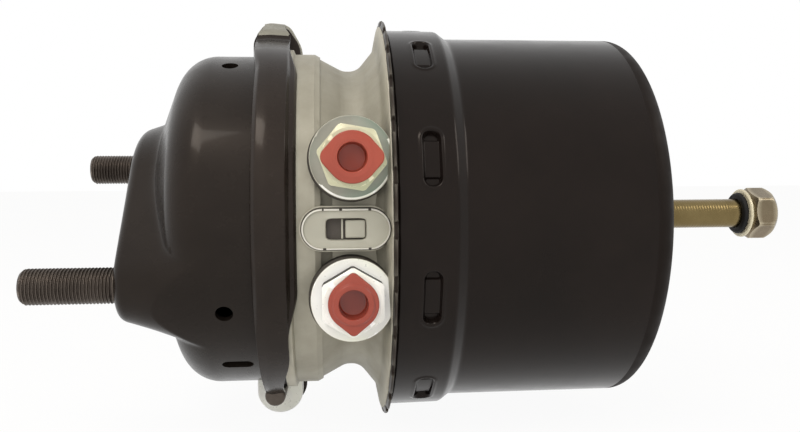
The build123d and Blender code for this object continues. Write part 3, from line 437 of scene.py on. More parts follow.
bowl_line = rounded([(14.0, 0.0, 0), (14.0, 50.0, 12.0), (27.0, 81.0, 18.0), (62.0, 81.0, 0)], False, 3.0)
rows = 540
angles = np.arange(rows) * 2 * math.pi / rows
count = 170
PAD_RISE = 20.0
EDGE_R = 7.0
FOLD = 5.0
draft = math.tan(math.radians(18.0))
reach_r = np.concatenate([np.linspace(23.9, 74.0, 700), np.linspace(74.0, 80.999, 900)])
bowl_x = np.interp(reach_r, bowl_line[:, 1], bowl_line[:, 0])
shell = []
for a in angles:
    r0, r1 = pad_reach(a, 0.0), pad_reach(a, PAD_RISE * draft)
    slope = PAD_RISE / (r1 - r0)
    wall = np.maximum(0.0, (reach_r - r0) * slope)
    # front edge of the pad, rounded
    lean = math.atan2(slope, 1.0)
    tangent = EDGE_R * math.tan(lean / 2)
    u = reach_r - (r0 - tangent)
    arc = EDGE_R - np.sqrt(np.clip(EDGE_R * EDGE_R - u * u, 0.0, None))
    wall = np.where((u > 0) & (u < EDGE_R * math.sin(lean)), arc, wall)
    x = soft_min(wall, bowl_x, FOLD)
    x = np.where(wall < 0.5, wall, x)
    line = np.stack([x, reach_r], 1)
    line = np.concatenate([line, [(line[-1, 0] + 0.3, 81.0), (50.0, 81.0), (61.0, 81.0)]])
    step = np.concatenate([[0.0], np.cumsum(np.linalg.norm(np.diff(line, axis=0), axis=1))])
    at = np.linspace(0.0, step[-1], count)
    shell.append(np.stack([np.interp(at, step, line[:, 0]), np.interp(at, step, line[:, 1])], 1))
shell = np.array(shell)
rim = rounded([(61.0, 81.0, 0), (62.3, 81.3, 1.0), (61.8, 84.4, 0.4), (66.0, 84.4, 0.3),
               (66.0, 78.0, 0)], False)
outline = np.concatenate([shell, np.broadcast_to(rim, (rows, *rim.shape))], 1)
inner = shell[:, ::-1].copy()
thin_out = np.clip((80.9 - inner[:, :, 1]) / 20.9, 0, 1)
inner[:, :, 0] += np.where(inner[:, :, 1] < 60.0, 3.0, 3.0 * thin_out)
inner[:, :, 1] = np.minimum(inner[:, :, 1], 78.0)
inner[:, :, 0] = np.minimum(inner[:, :, 0], 66.0)
outline = np.concatenate([outline, inner], 1)
place = about_x()
verts = np.concatenate([place(outline[i, :, 0], outline[i, :, 1], a) for i, a in enumerate(angles)])
shell_obj = build("service_shell", verts, grid(rows, outline.shape[1], True, True), "black_paint", "chamber",
                  ("service_housing",), 45.0, 0.001)


def drill(target, name, point, direction, radius, length=0.0, deep=6.0, sides=48):
    """Cut a round hole, or a slot of a given overall length along X, into a piece."""
    d = Vector(direction).normalized()
    e = Vector((1.0, 0.0, 0.0))
    f = d.cross(e)
    verts, ring = [], []
    for k in range(sides):
        a = 2 * math.pi * k / sides
        shift = max(0.0, length / 2 - radius) * (1 if math.cos(a) > 0 else -1)
        ring.append(e * (radius * math.cos(a) + shift) + f * radius * math.sin(a))
    for side in (-deep, deep):
        verts += [Vector(point) + d * side + r for r in ring]
    faces = [(k, (k + 1) % sides, sides + (k + 1) % sides, sides + k) for k in range(sides)]
    faces += [list(reversed(range(sides))), list(range(sides, 2 * sides))]
    mesh = bpy.data.meshes.new(name)
    mesh.from_pydata([tuple(v * MM) for v in verts], [], faces)
    cutter = bpy.data.objects.new(name, mesh)
    scene.collection.objects.link(cutter)
    mod = target.modifiers.new("cut", "BOOLEAN")
    mod.operation = "DIFFERENCE"
    mod.solver = "EXACT"
    mod.object = cutter
    return cutter


def apply_cuts(target, cutters, sharp):
    """Bake the cuts into the piece's mesh and drop the cutters."""
    bpy.context.view_layer.update()
    shape = target.evaluated_get(bpy.context.evaluated_depsgraph_get())
    mesh = bpy.data.meshes.new_from_object(shape)
    target.modifiers.clear()
    mesh.shade_smooth()
    mesh.set_sharp_from_angle(angle=math.radians(sharp))
    target.data = mesh
    for cutter in cutters:
        bpy.data.objects.remove(cutter)


cutters = []
for k in range(4):
    a = math.radians(63.5 + 90.0 * k)
    out = Vector((0.0, -math.cos(a), math.sin(a)))
    cutters.append(drill(shell_obj, f"vent_{k}", Vector((47.0, 0, 0)) + out * 80.0, out, 3.75))
a = math.radians(-51.0)
out = Vector((0.0, -math.cos(a), math.sin(a)))
cutters.append(drill(shell_obj, "drain", Vector((50.0, 0, 0)) + out * 80.0, out, 3.0, 14.0))
apply_cuts(shell_obj, cutters, 45.0)

# ------------------------------------------------------------------ studs
for k, (y, z) in enumerate((STUD_DIR * STUD_CIRCLE / 2, -STUD_DIR * STUD_CIRCLE / 2)):
    along = np.concatenate([np.arange(-41.0, -0.5, 0.125), [0.2, 3.0]])
    shaped(f"stud_{k}", along, thread(1.5, 0.75, 8.0, -41.0, 1.6, -0.8), "dark_steel", "chamber",
           about_x(y, z), np.arange(64) * 2 * math.pi / 64, ("mounting_studs",), 60.0)
    lathe(f"stud_head_{k}", [(3.0, 0.0, 0), (3.0, 11.5, 0.5), (8.0, 11.5, 0.8), (8.0, 0.0, 0)], "dark_steel",
          "chamber", about_x(y, z), 48)


# ------------------------------------------------------------------ clamp ring
def smooth(low, high, value):
    """0 below low, 1 above high, eased between."""
    t = min(1.0, max(0.0, (value - low) / (high - low)))
    return t * t * (3.0 - 2.0 * t)


def clamp_path(level):
    """Centre line of a clamp half from its strap's end down to the port side, in the YZ plane."""
    if level > 0:
        bend = rounded([(-1.6, 98.3, 0), (-11.4, 93.3, 2.6), (-14.5, 88.2, 3.5), (-34.0, 81.0, 30.0),
                        (-60.0, 64.0, 0)], False, 4.0)
    else:
        bend = rounded([(-1.6, 90.8, 0), (-20.0, 87.4, 20.0), (-34.0, 81.0, 30.0), (-60.0, 64.0, 0)],
                       False, 4.0)
    keep = [p for p in bend if p[0] > -33.0]
    turns = np.linspace(math.asin(34.0 / 87.8), math.pi / 2, 90)
    quarter = np.array(keep + [(-87.8 * math.sin(t), 87.8 * math.cos(t)) for t in turns])
    step = np.concatenate([[0.0], np.cumsum(np.linalg.norm(np.diff(quarter, axis=0), axis=1))])
    at = np.linspace(0.0, step[-1], 170)
    quarter = np.stack([np.interp(at, step, quarter[:, 0]), np.interp(at, step, quarter[:, 1])], 1)
    for _ in range(2):
        quarter[1:-1] = quarter[1:-1] * 0.5 + (quarter[:-2] + quarter[2:]) * 0.25
    return quarter * (1.0, level)


def clamp_half(side, name, replaces):
    """Pressed clamp half: flat crown, steep left flank and stepped right one, fading into the straps."""
    path = np.concatenate([clamp_path(1.0), clamp_path(-1.0)[-2::-1]])
    tangent = np.gradient(path, axis=0)
    tangent /= np.linalg.norm(tangent, axis=1)[:, None]
    normal = np.stack([-tangent[:, 1], tangent[:, 0]], 1)
    normal *= np.sign((normal * path).sum(1))[:, None]
    sections = []
    for (py, pz), n in zip(path, normal):
        lift = smooth(70.0, 86.0, pz) if pz > 0 else smooth(28.0, 50.0, -pz)
        end = smooth(90.0, 97.0, pz) if pz > 0 else 0.0
        pinch = smooth(58.0, 80.0, -pz)
        left = 61.2 - (3.6 if pz > 0 else 0.8) * lift + 3.2 * end + 0.6 * pinch
        right = 74.2 - 0.8 * lift - 2.8 * end - 4.2 * pinch
        foot = 4.9 * (1 - lift) + 1.2 * lift
        out = 1 - lift
        middle = (left + right) / 2
        section = rounded([(left - 0.25 - 1.7 * out, -foot, 0),
                           (left - 0.15 - 1.25 * out, -1.9 * out - 0.2, 0.6),
                           (left + 0.3, -0.3, 1.7), (middle - 2.0, 0.25, 14.0), (right - 0.4, -0.45, 1.2),
                           (right + 0.15 + 0.7 * out, -2.2 * out - 0.5, 0.5),
                           (right + 0.25 + 2.6 * out, -2.6 * out - 0.6, 0.5),
                           (right + 0.3 + 3.5 * out, -foot - 0.3, 0),
                           (right - 1.6, -foot - 0.9, 0), (right - 2.2, -2.3, 0.8), (left + 2.2, -2.3, 0.8),
                           (left + 1.2, -foot - 0.9, 0)], True, 15.0, 4)
        y = np.minimum(py + n[0] * section[:, 1], -1.55)
        sections.append(np.stack([section[:, 0], y * side, pz + n[1] * section[:, 1]], 1))
    sections = np.array(sections)
    count, cols = sections.shape[:2]
    faces = grid(count, cols, False, True)
    faces.append(list(range(cols)))
    faces.append([(count - 1) * cols + k for k in reversed(range(cols))])
    return build(name, sections.reshape(-1, 3), faces, "ring_paint", "chamber", (replaces,), 40.0, 0.0005)


def slab(name, outline, y0, y1, mat, body, edge=0.6, replaces=(), sharp=35.0):
    """A flat plate in the XZ plane between two y values, with its edges rounded off."""
    pts = np.asarray(outline, float)
    centre_pt = pts.mean(0)
    rings = []
    steps = [(0.0, edge), (0.13 * edge, 0.5 * edge), (0.5 * edge, 0.13 * edge), (edge, 0.0)]
    nxt, prv = np.roll(pts, -1, 0), np.roll(pts, 1, 0)
    d = nxt - prv
    nrm = np.stack([d[:, 1], -d[:, 0]], 1)
    nrm /= np.linalg.norm(nrm, axis=1)[:, None]
    if ((pts - centre_pt) * nrm).sum() < 0:
        nrm = -nrm
    low, high = min(y0, y1), max(y0, y1)
    for depth, inset in steps:
        q = pts - nrm * inset
        rings.append(np.stack([q[:, 0], np.full(len(q), low + depth), q[:, 1]], 1))
    for depth, inset in reversed(steps):
        q = pts - nrm * inset
        rings.append(np.stack([q[:, 0], np.full(len(q), high - depth), q[:, 1]], 1))
    verts = np.concatenate(rings)
    n = len(pts)
    faces = grid(len(rings), n, False, True)
    faces.append(list(range(n)))
    faces.append([(len(rings) - 1) * n + k for k in reversed(range(n))])
    return build(name, verts, faces, mat, body, replaces, sharp, 0.0005)


SHEEN_Z = 90.8
front = clamp_half(1.0, "clamp_front", "clamp_half_front")
front.data.materials.append(MATS["ear_worn"])
# Painted sheen: the strap faces above this height take the lighter tone.
for face in front.data.polygons:
    if face.center.z > SHEEN_Z * MM:
        face.material_index = 1
clamp_half(-1.0, "clamp_rear", "clamp_half_rear")
# The front bottom ear plate takes the near-white zinc tone, a painted highlight.
for side, where, grow, top_mat, low_mat in ((1.0, "front", 0.0, "ring_paint", "bright_zinc"),
                                            (-1.0, "rear", 0.9, "face_zinc", "ring_paint")):
    peak = 96.4 + 2.5 * grow
    arch = rounded([(55.0, 80.5, 0), (55.0, 89.0, 9.0), (59.6, peak, 5.0), (71.6 + grow, peak, 7.0),
                    (78.0 + grow, 87.0, 14.0), (78.6 + grow, 80.5, 0)], True, 8.0)
    slab(f"ear_plate_{where}_top", arch, -4.4 * side, -1.6 * side, top_mat, "chamber", 0.6)
    arch = rounded([(54.8, -72.0, 0), (54.8 + grow, -98.3 + grow, 11.2),
                    (77.6 + 2 * grow, -98.3 + grow, 11.4), (77.6 + 2 * grow, -72.0, 0)], True, 8.0)
    outer_y = -9.4 if side > 0 else 4.4
    slab(f"ear_plate_{where}_bottom", arch, outer_y, -1.6 * side, low_mat, "chamber", 1.2)

# ------------------------------------------------------------------ hexagons
def hexagon(name, flat, ends, cone, mat, body, place, turn, replaces=(), caps=True):
    """Hexagon with turned chamfers: its points follow the curves where the flats meet the turned outline."""
    shares = (0.0, 0.02, 0.05, 0.09, 0.14, 0.19, 0.24, 0.30, 0.36, 0.43,
              0.5, 0.57, 0.64, 0.70, 0.76, 0.81, 0.86, 0.91, 0.95, 0.98)
    fine = np.linspace(ends[0], ends[1], 600)
    angles = [math.radians(60.0) * (k + t) + turn for k in range(6) for t in shares]
    verts, cols = [], 18
    for a in angles:
        local = (a - turn) % math.radians(60.0) - math.radians(30.0)
        side = min(flat / 2 / math.cos(local), flat / math.sqrt(3.0) - 0.35)
        full = fine[cone(fine) >= side]
        low, high = (full[0], full[-1]) if len(full) else (fine[300], fine[300])
        x = np.concatenate([np.linspace(ends[0], low, 8), np.linspace(low, high, 4)[1:-1],
                            np.linspace(high, ends[1], 8)])
        verts.append(place(x, np.minimum(side, cone(x)), a))
    faces = grid(len(angles), cols, True, False)
    if caps:
        faces.append([i * cols for i in range(len(angles))])
        faces.append([i * cols + cols - 1 for i in reversed(range(len(angles)))])
    return build(name, np.concatenate(verts), faces, mat, body, replaces, 20.0, 0.0005)


for where, level, bolt_x, reach in (("top", 88.8, 66.0, 9.6), ("bottom", -84.2, 64.9, 30.0)):
    place = about_y(bolt_x, level)
    lathe(f"clamp_shank_{where}", [(-13.0, 0.0, 0), (-13.0, 3.4, 0.6), (7.6, 3.4, 0), (7.6, 0.0, 0)],
          "dark_steel", "chamber", place, 32, ("clamp_bolts",) if where == "top" else ())
    lathe(f"clamp_head_{where}", [(7.4, 0.0, 0), (7.4, 5.4, 0.6), (reach, 4.9, 2.0), (reach + 0.3, 0.0, 0)],
          "dark_steel", "chamber", place, 48)
    hexagon(f"clamp_nut_{where}", 9.0, (-9.6, -5.0), lambda y: np.minimum(5.3, 5.0 + (y + 9.6)),
            "dark_steel", "chamber", place, 0.3, ("clamp_nuts",) if where == "top" else ())

# release bolt: threaded shank, washer face, neck and hexagon
along = np.concatenate([[155.6], np.arange(157.0, 305.9, 0.25), [306.0, 312.0]])


def shank(x, a):
    """Radius of the release bolt: groove of the retaining clip, shallow two-start thread and plain neck."""
    phase = ((x + a / (2 * math.pi) * 3.0) / 1.5) % 1.0
    cut = 0.07 * np.abs(phase * 2 - 1)
    clip = (x > 158.3) & (x < 160.2)
    cut = np.where(x > 303.0, 0.0, cut)
    return np.where(clip, 6.4, np.where(x < 157.0, 6.6, 7.6 - cut))


shaped("release_shank", along, shank, "yellow_zinc", "release_bolt", about_x(),
       np.arange(64) * 2 * math.pi / 64, ("release_bolt",), 60.0)
# The washer takes a pale, mostly matt zinc tone: a painted highlight on its edge.
lathe("release_washer",
      [(312.4, 0.0, 0), (312.4, 12.3, 0.3), (313.0, 12.9, 0.4), (313.7, 12.9, 0.4), (314.2, 12.3, 0.3),
       (314.2, 10.4, 0.2), (316.4, 10.2, 0), (316.4, 0.0, 0)],
      "rim_zinc", "release_bolt", about_x(), 96)


def bolt_cone(x):
    """Chamfers of the release bolt's hexagon."""
    near = 11.3 + (x - 315.4) * 1.15
    far = 10.2 + (328.6 - x) ** 0.7 * 1.6
    return np.minimum(near, far)


hexagon("release_hexagon", 24.2, (315.4, 328.6), bolt_cone, "hex_zinc", "release_bolt", about_x(),
        math.radians(36.0))
lathe("release_seal",
      [(310.0, 7.65, 0.3), (310.0, 10.4, 1.2), (312.4, 11.4, 0.7), (312.4, 7.65, 0.2)],
      "black_rubber", "release_bolt", about_x(), 96, ("bolt_seal_ring",), fine=12.0)

# ------------------------------------------------------------------ port fittings
# middle (x, z), turn of the hexagon in degrees, material of the boss face, material of the hexagon
# The lower port's boss face and hexagon take the near-white zinc, a painted highlight; the upper port's take
# darker tones.
PORTS = {"upper": (100.8, 29.1, -10.0, "face_zinc", "pale_zinc"),
         "lower": (100.8, -29.1, 30.0, "bright_zinc", "bright_zinc")}


def paint_side_shade(obj, mat, steep):
    """Painted shade: give the faces that look away from the Y axis another, darker material."""
    obj.data.materials.append(MATS[mat])
    for face in obj.data.polygons:
        if abs(face.normal.y) < steep:
            face.material_index = 1


def fitting_cone(y):
    """Turned chamfer of a fitting's hexagon."""
    return 12.1 + (95.5 - y) * 1.5


for where, (x0, z0, turn, face, hexes) in PORTS.items():
    place = about_y(x0, z0)
    nut = hexagon(f"fitting_hex_{where}", 24.9, (87.0, 95.5), fitting_cone, hexes, "chamber", place,
                  math.radians(turn), (f"port_fitting_{where}",), False)
    # Painted shade: the hexagon's side faces take a darker material.
    paint_side_shade(nut, "cast_dark" if where == "lower" else "face_zinc", 0.3)
    lathe(f"fitting_top_{where}",
          [(95.45, 12.15, 0), (95.62, 11.9, 0.1), (95.62, 6.9, 0.3), (94.6, 6.5, 0.2)], hexes, "chamber",
          place, 96, (), False, fine=15.0)
    rim = lathe(f"boss_face_{where}",
                [(86.7, 10.0, 0), (86.7, 17.15, 0.2), (86.95, 17.15, 0.1), (87.12, 16.7, 0.2),
                 (87.13, 16.2, 0), (87.12, 10.0, 0)], face, "chamber", place, 120, fine=15.0)
    # Painted highlight: a strip along the face's edge towards its lower right takes the near-white zinc.
    rim.data.materials.append(MATS["bright_zinc"])
    for side in rim.data.polygons:
        out = Vector((side.center.x * 1000.0 - x0, side.center.z * 1000.0 - z0))
        if out.length > 16.15 and out.x * 0.55 - out.y * 0.83 > 2.0:
            side.material_index = 1
    # Painted shadow: a dark crescent round the boss, widest towards lean, stands for the shade beside it.
    lean = math.radians(232.0 if where == "upper" else 128.0)
    shaped(f"boss_painted_shadow_{where}", np.array((78.6, 80.4, 86.2, 86.7, 86.72)),
           lambda y, a: 17.27 + np.array((1.0, 1.0, 0.9, 0.3, -2.0)) * max(0.0, math.cos(a - lean)) ** 0.6,
           "cast_dark", "chamber", place, np.arange(120) * 2 * math.pi / 120, (), 40.0, False)


# ------------------------------------------------------------------ transport plugs
def lemon(a, turn, short=10.4, long=12.6, nose=1.4):
    """Outline radius of the plug's pointed head at an angle."""
    ray = np.array((math.cos(a - turn), math.sin(a - turn)))
    best = short
    off = long - nose
    for side in (1.0, -1.0):
        c = np.array((off * side, 0.0))
        b = float(ray @ c)
        inside = b * b - off * off + nose * nose
        if inside > 0:
            best = max(best, b + math.sqrt(inside))
        lean = math.asin((short - nose) / off)
        for flip in (1.0, -1.0):
            normal_angle = math.atan2(0.0, side) + flip * (math.pi / 2 - lean)
            n = np.array((math.cos(normal_angle), math.sin(normal_angle)))
            down = float(ray @ n)
            if down > 1e-6:
                hit = ray * (short / down)
                p, q = n * short, c + n * nose
                t = float((hit - p) @ (q - p)) / float((q - p) @ (q - p))
                if 0.0 <= t <= 1.0:
                    best = max(best, short / down)
    return best


def plug(where, bead):
    """Plug with a recess, a raised bead round it and a pointed flange."""
    x0, z0 = PORTS[where][:2]
    turn = 0.0 if where == "upper" else math.radians(90.0)
    short, nose = (10.5, 4.2) if where == "upper" else (10.2, 2.2)
    top, face = 99.6, 99.6 - bead
    angles = np.arange(180) * 2 * math.pi / 180
    place = about_y(x0, z0)
    all_verts = []
    for a in angles:
        edge = lemon(a, turn, short, 12.6, nose)
        line = rounded([(90.7, 0.0, 0), (90.7, 5.6, 0.6), (top - 0.1, 5.9, 0.35), (top, 6.9, 0.5),
                        (top, 7.9, 0.6), (face, 8.6, 0.4), (face - 0.15, edge - 1.2, 0),
                        (face - 0.2, edge, 0.9), (95.7, edge - 0.1, 0.3),
                        (95.7, 6.4, 0), (81.7, 6.3, 0.5), (81.7, 0.0, 0)], False, 14.0, 5)
        all_verts.append(place(line[:, 0], line[:, 1], a))
    n = len(all_verts[0])
    build(f"plug_{where}", np.concatenate(all_verts), grid(len(angles), n, True, False),
          "plug_plastic" if where == "upper" else "gloss_plug", f"{where}_plug",
          (f"port_plug_{where}",), 50.0, 0.001)


plug("upper", 0.12)
plug("lower", 0.8)


# ------------------------------------------------------------------ breather cover
def stadium(length, width, count=96):
    """Points round a slot outline, starting at its right end."""
    r, half = width / 2, (length - width) / 2
    straight, arc = 2 * half, math.pi * r
    total = 2 * straight + 2 * arc
    pts = []
    for k in range(count):
        s = (k / count * total + arc / 2) % total
        if s < arc:
            t = s / r - math.pi / 2
            pts.append((half + r * math.cos(t), r * math.sin(t)))
        elif s < arc + straight:
            pts.append((half - (s - arc), r))
        elif s < 2 * arc + straight:
            t = (s - arc - straight) / r + math.pi / 2
            pts.append((-half + r * math.cos(t), r * math.sin(t)))
        else:
            pts.append((-half + (s - 2 * arc - straight), -r))
    return np.array(pts)


def boxed(length, width, like):
    """Rounded rectangle sampled in the same directions as another outline."""
    out = []
    power = 7.0
    for x, z in like:
        t = math.atan2(z * length, x * width)
        c, s = math.cos(t), math.sin(t)
        k = (abs(c) ** power + abs(s) ** power) ** (-1 / power)
        out.append((c * k * length / 2, s * k * width / 2))
    return np.array(out)


COVER_X = 98.4


def stacked(name, loops, mat, replaces=()):
    """Loops of (outline, y) joined into one closed skin; y is the distance towards the port side."""
    layers = [np.stack([COVER_X + o[:, 0], np.full(len(o), -y), o[:, 1]], 1) for o, y in loops]
    faces = grid(len(loops), len(layers[0]), True, True)
    return build(name, np.concatenate(layers), faces, mat, "chamber", replaces, 35.0, 0.0005)


def slots(*sizes):
    """Loops for stacked from (length, width, y) of slot outlines."""
    return [(stadium(length, width), y) for length, width, y in sizes]


rim_out = stadium(36.4, 16.8)
loops = slots((36.2, 16.6, 83.7), (36.4, 16.8, 84.0), (36.4, 16.8, 87.0), (36.2, 16.6, 87.55),
              (35.8, 16.2, 87.8), (34.9, 15.3, 87.8), (34.5, 14.9, 87.6), (34.3, 14.7, 87.1),
              (33.6, 14.0, 87.05))
hole = boxed(17.2, 9.2, rim_out)
loops += [(boxed(17.4, 9.4, rim_out), 87.05), (hole * 0.985, 86.9), (hole * 0.96, 86.4), (hole * 0.95, 83.7)]
stacked("cover_shell", loops, "cover_plastic", ("breather_cover",))
NOTCHES = ((89.0, 8.0, 0.7), (96.2, 8.0, 1.2), (108.0, 8.0, 1.2), (89.6, -8.0, 1.3), (108.0, -8.0, 1.2))
# Painted shade: near-black patches on the cover's top face stand for the shade in its notches.
for k, (x, z, w) in enumerate(NOTCHES):
    notch = rounded([(x - w / 2, z - 0.45, 0.2), (x + w / 2, z - 0.45, 0.2), (x + w / 2, z + 0.5, 0.2),
                     (x - w / 2, z + 0.5, 0.2)], True, 30.0)
    slab(f"cover_notch_shade_{k}", notch, -88.0, -87.3, "cast_dark", "chamber", 0.1)
# Painted shade: a near-black ring round the cover stands for the shade in the gap to the casting.
stacked("cover_gap_shade", slots((37.3, 17.7, 81.0), (37.3, 17.7, 84.6), (37.0, 17.4, 84.9), (36.3, 16.7, 84.9),
                           (36.3, 16.7, 81.0)), "cast_dark")
# Painted highlight: the cover's rim takes a light tone.
stacked("cover_rim", slots((36.3, 16.7, 87.45), (35.9, 16.3, 87.86), (35.2, 15.6, 87.92), (34.7, 15.1, 87.6),
                           (34.9, 15.3, 87.3)), "cover_edge")
slab("cover_block",
     rounded([(98.1, -3.7, 0.6), (106.3, -3.7, 0.9), (106.3, 3.7, 0.9), (98.1, 3.7, 0.6)], True, 15.0),
     -85.7, -83.7, "cover_plastic", "chamber", 0.6)
slab("cover_rib",
     rounded([(96.4, -4.1, 0.2), (97.2, -4.1, 0.2), (97.2, 4.1, 0.2), (96.4, 4.1, 0.2)], True, 30.0),
     -85.1, -83.7, "cover_plastic", "chamber", 0.2)
slab("cover_floor",
     rounded([(89.6, -4.6, 1), (107.2, -4.6, 1), (107.2, 4.6, 1), (89.6, 4.6, 1)], True, 20.0),
     -84.2, -83.65, "felt", "chamber", 0.1, ("breather_filter",))


# ------------------------------------------------------------------ spring housing
def pocket_depth(x, arc):
    """Depth of a pressed pocket at a place given from its middle, in millimetres."""
    hx, ha, r = 4.0, 12.4, 3.9
    qx, qa = np.abs(x) - (hx - r), np.abs(arc) - (ha - r)
    away = np.hypot(np.maximum(qx, 0), np.maximum(qa, 0)) + np.minimum(np.maximum(qx, qa), 0) - r
    wall = np.clip(-away / 1.1, 0.0, 1.0)
    floor = 1.7 * wall * wall * (3 - 2 * wall)
    slit = np.clip((np.abs(arc) - (ha - 4.8)) / 1.6, 0.0, 1.0) * np.clip((-away - 0.4) / 1.2, 0.0, 1.0)
    rim = np.exp(-((away - 0.6) / 0.7) ** 2) * 0.34
    return floor + 1.7 * slit * slit * (3 - 2 * slit) - rim


collar_line = rounded([(119.4, 91.1, 0), (119.4, 94.1, 0.9), (143.7, 93.75, 3.2), (148.6, 90.15, 3.2),
                       (238.0, 90.1, 8.0), (238.0, 16.0, 0)], False, 5.0)
step = np.concatenate([[0.0], np.cumsum(np.linalg.norm(np.diff(collar_line, axis=0), axis=1))])
at = np.concatenate([np.linspace(0, 4.0, 12), np.linspace(4.4, 8.2, 6), np.linspace(8.5, 25.0, 62),
                     np.linspace(25.4, 42.0, 44), np.linspace(44.0, 110.0, 16),
                     np.linspace(112.0, 135.0, 40), np.linspace(137.0, step[-1], 14)])
skin = np.stack([np.interp(at, step, collar_line[:, 0]), np.interp(at, step, collar_line[:, 1])], 1)
angles = []
for k in range(10):
    mid = 18.0 + 36.0 * k
    for t in np.concatenate([np.linspace(-18, -9.6, 10, endpoint=False),
                             np.linspace(-9.6, 9.6, 74, endpoint=False),
                             np.linspace(9.6, 18, 10, endpoint=False)]):
        angles.append((math.radians(mid + t), math.radians(t)))
place = about_x()
rows_v = []
inner_line = rounded([(238.0, 15.1, 0), (234.9, 15.1, 0), (234.9, 87.0, 5.0), (146.3, 87.0, 0),
                      (146.3, 91.0, 0), (119.4, 91.0, 0)], False, 15.0)
for a, t in angles:
    r = skin[:, 1].copy()
    on = (skin[:, 0] > 125.0) & (skin[:, 0] < 142.0) & (at > 4.0)
    r[on] -= pocket_depth(skin[on, 0] - 133.6, np.full(on.sum(), t * 94.2))
    x = np.concatenate([skin[:, 0], inner_line[:, 0]])
    rows_v.append(place(x, np.concatenate([r, inner_line[:, 1]]), a))
n = len(rows_v[0])
drum = build("spring_shell", np.concatenate(rows_v), grid(len(angles), n, True, True),
             "drum_paint", "chamber", ("spring_housing",), 50.0, 0.0005)
DRUM_END_X = 229.0
drum.data.materials.append(MATS["drum_end"])
for face in drum.data.polygons:
    if face.center.x > DRUM_END_X * MM:
        face.material_index = 1

# ------------------------------------------------------------------ castellated lock ring
teeth = 28
lock_line = rounded([(116.95, 91.2, 0), (116.95, 95.6, 0.3), (117.5, 98.5, 0.4), (118.5, 98.85, 0.4),
                     (119.3, 94.7, 0.4), (119.3, 91.2, 0)], True, 15.0)
rows_v, spread_a = [], []
for k in range(teeth):
    for t, cut in ((0.0, 2.6), (0.10, 2.6), (0.13, 2.3), (0.17, 0.4), (0.20, 0.0), (0.4, 0.0),
                   (0.6, 0.0), (0.8, 0.0), (0.83, 0.4), (0.87, 2.3), (0.90, 2.6)):
        spread_a.append((math.radians((k + t) * 360.0 / teeth), cut))
for a, cut in spread_a:
    r = np.minimum(lock_line[:, 1], 98.9 - cut)
    rows_v.append(place(lock_line[:, 0], r, a))
build("seam_ring", np.concatenate(rows_v), grid(len(spread_a), len(lock_line), True, True),
      "seam_paint", "chamber", ("lock_ring",), 35.0, 0.0005)


# ------------------------------------------------------------------ stage and light
def panel(name, place, target, width, height, power, colour, shows=True):
    """A soft rectangular light that faces a target."""
    light = bpy.data.lights.new(name, "AREA")
    light.shape = "RECTANGLE"
    light.size, light.size_y = width, height
    light.energy = power
    light.color = colour
    obj = bpy.data.objects.new(name, light)
    scene.collection.objects.link(obj)
    obj.location = place
    obj.rotation_euler = (Vector(target) - Vector(place)).to_track_quat("-Z", "Y").to_euler()
    obj.visible_glossy = shows
    return obj


centre = (0.15, 0.0, 0.0)
panel("top_light", (-0.36, -0.62, 1.02), (0.02, 0.0, 0.0), 0.5, 0.35, 4.0, (1.0, 0.93, 0.85))
panel("right_light", (1.0, -0.42, 0.62), (0.15, 0.0, 0.0), 0.35, 0.5, 2.2, (1.0, 0.95, 0.90))
panel("key_fill", (-0.30, -0.95, 0.70), centre, 0.9, 0.9, 9.2, (1.0, 0.985, 0.96), False)
panel("front_fill", (0.35, -1.15, -0.10), centre, 1.2, 0.9, 6.4, (1.0, 0.985, 0.96), False)


def meets_background(tree, camera=1.0):
    """1 for glossy and transmission rays and a share for camera rays, which see the white background."""
    ray = tree.nodes.new("ShaderNodeLightPath")
    share = tree.nodes.new("ShaderNodeMath")
    share.operation = "MULTIPLY"
    share.inputs[1].default_value = camera
    tree.links.new(ray.outputs["Is Camera Ray"], share.inputs[0])
    out = share.outputs[0]
    for kind in ("Is Glossy Ray", "Is Transmission Ray"):
        larger = tree.nodes.new("ShaderNodeMath")
        larger.operation = "MAXIMUM"
        tree.links.new(out, larger.inputs[0])
        tree.links.new(ray.outputs[kind], larger.inputs[1])
        out = larger.outputs[0]
    return out


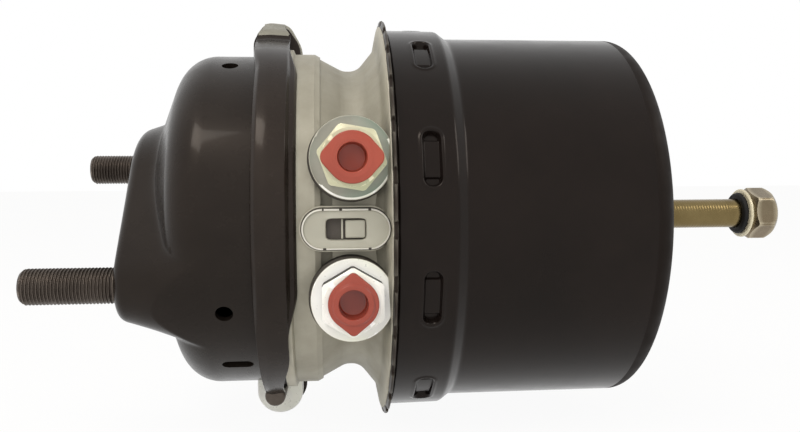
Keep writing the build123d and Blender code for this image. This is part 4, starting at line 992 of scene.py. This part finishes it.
world = bpy.data.worlds.new("world")
scene.world = world
world.use_nodes = True
tree = world.node_tree
tree.nodes.clear()
aim = tree.nodes.new("ShaderNodeTexCoord")
tilt = tree.nodes.new("ShaderNodeVectorMath")
tilt.operation = "DOT_PRODUCT"
tilt.inputs[1].default_value = (-0.30, 0.80, 0.31)
tree.links.new(aim.outputs["Generated"], tilt.inputs[0])
level = tree.nodes.new("ShaderNodeMapRange")
level.interpolation_type = "SMOOTHSTEP"
level.inputs["From Min"].default_value = -0.42
level.inputs["From Max"].default_value = 0.68
level.inputs["To Min"].default_value = 0.05
level.inputs["To Max"].default_value = 0.95
tree.links.new(tilt.outputs["Value"], level.inputs["Value"])
sky = tree.nodes.new("ShaderNodeBackground")
sky.inputs["Color"].default_value = (1.0, 0.95, 0.88, 1.0)
tree.links.new(level.outputs[0], sky.inputs["Strength"])
plain = tree.nodes.new("ShaderNodeBackground")
plain.inputs["Color"].default_value = (1.0, 1.0, 1.0, 1.0)
plain.inputs["Strength"].default_value = 1.0
both = tree.nodes.new("ShaderNodeMixShader")
end = tree.nodes.new("ShaderNodeOutputWorld")
tree.links.new(meets_background(tree), both.inputs[0])
tree.links.new(sky.outputs[0], both.inputs[1])
tree.links.new(plain.outputs[0], both.inputs[2])
tree.links.new(both.outputs[0], end.inputs["Surface"])

floor_mat = bpy.data.materials.new("floor")
floor_mat.use_nodes = True
tree = floor_mat.node_tree
tree.nodes.clear()
matt = tree.nodes.new("ShaderNodeBsdfDiffuse")
matt.inputs["Color"].default_value = (0.86, 0.86, 0.85, 1.0)
glow = tree.nodes.new("ShaderNodeEmission")
glow.inputs["Color"].default_value = (1.0, 1.0, 1.0, 1.0)
glow.inputs["Strength"].default_value = 1.0
both = tree.nodes.new("ShaderNodeMixShader")
end = tree.nodes.new("ShaderNodeOutputMaterial")
tree.links.new(meets_background(tree, 0.94), both.inputs[0])
tree.links.new(matt.outputs[0], both.inputs[1])
tree.links.new(glow.outputs[0], both.inputs[2])
tree.links.new(both.outputs[0], end.inputs["Surface"])
mesh = bpy.data.meshes.new("floor")
FLOOR_Z, FLOOR_HALF = -0.1012, 6
corners = [(x * FLOOR_HALF, y * FLOOR_HALF, FLOOR_Z) for x, y in ((-1, -1), (1, -1), (1, 1), (-1, 1))]
mesh.from_pydata(corners, [], [(0, 1, 2, 3)])
mesh.materials.append(floor_mat)
ground = bpy.data.objects.new("floor", mesh)
scene.collection.objects.link(ground)
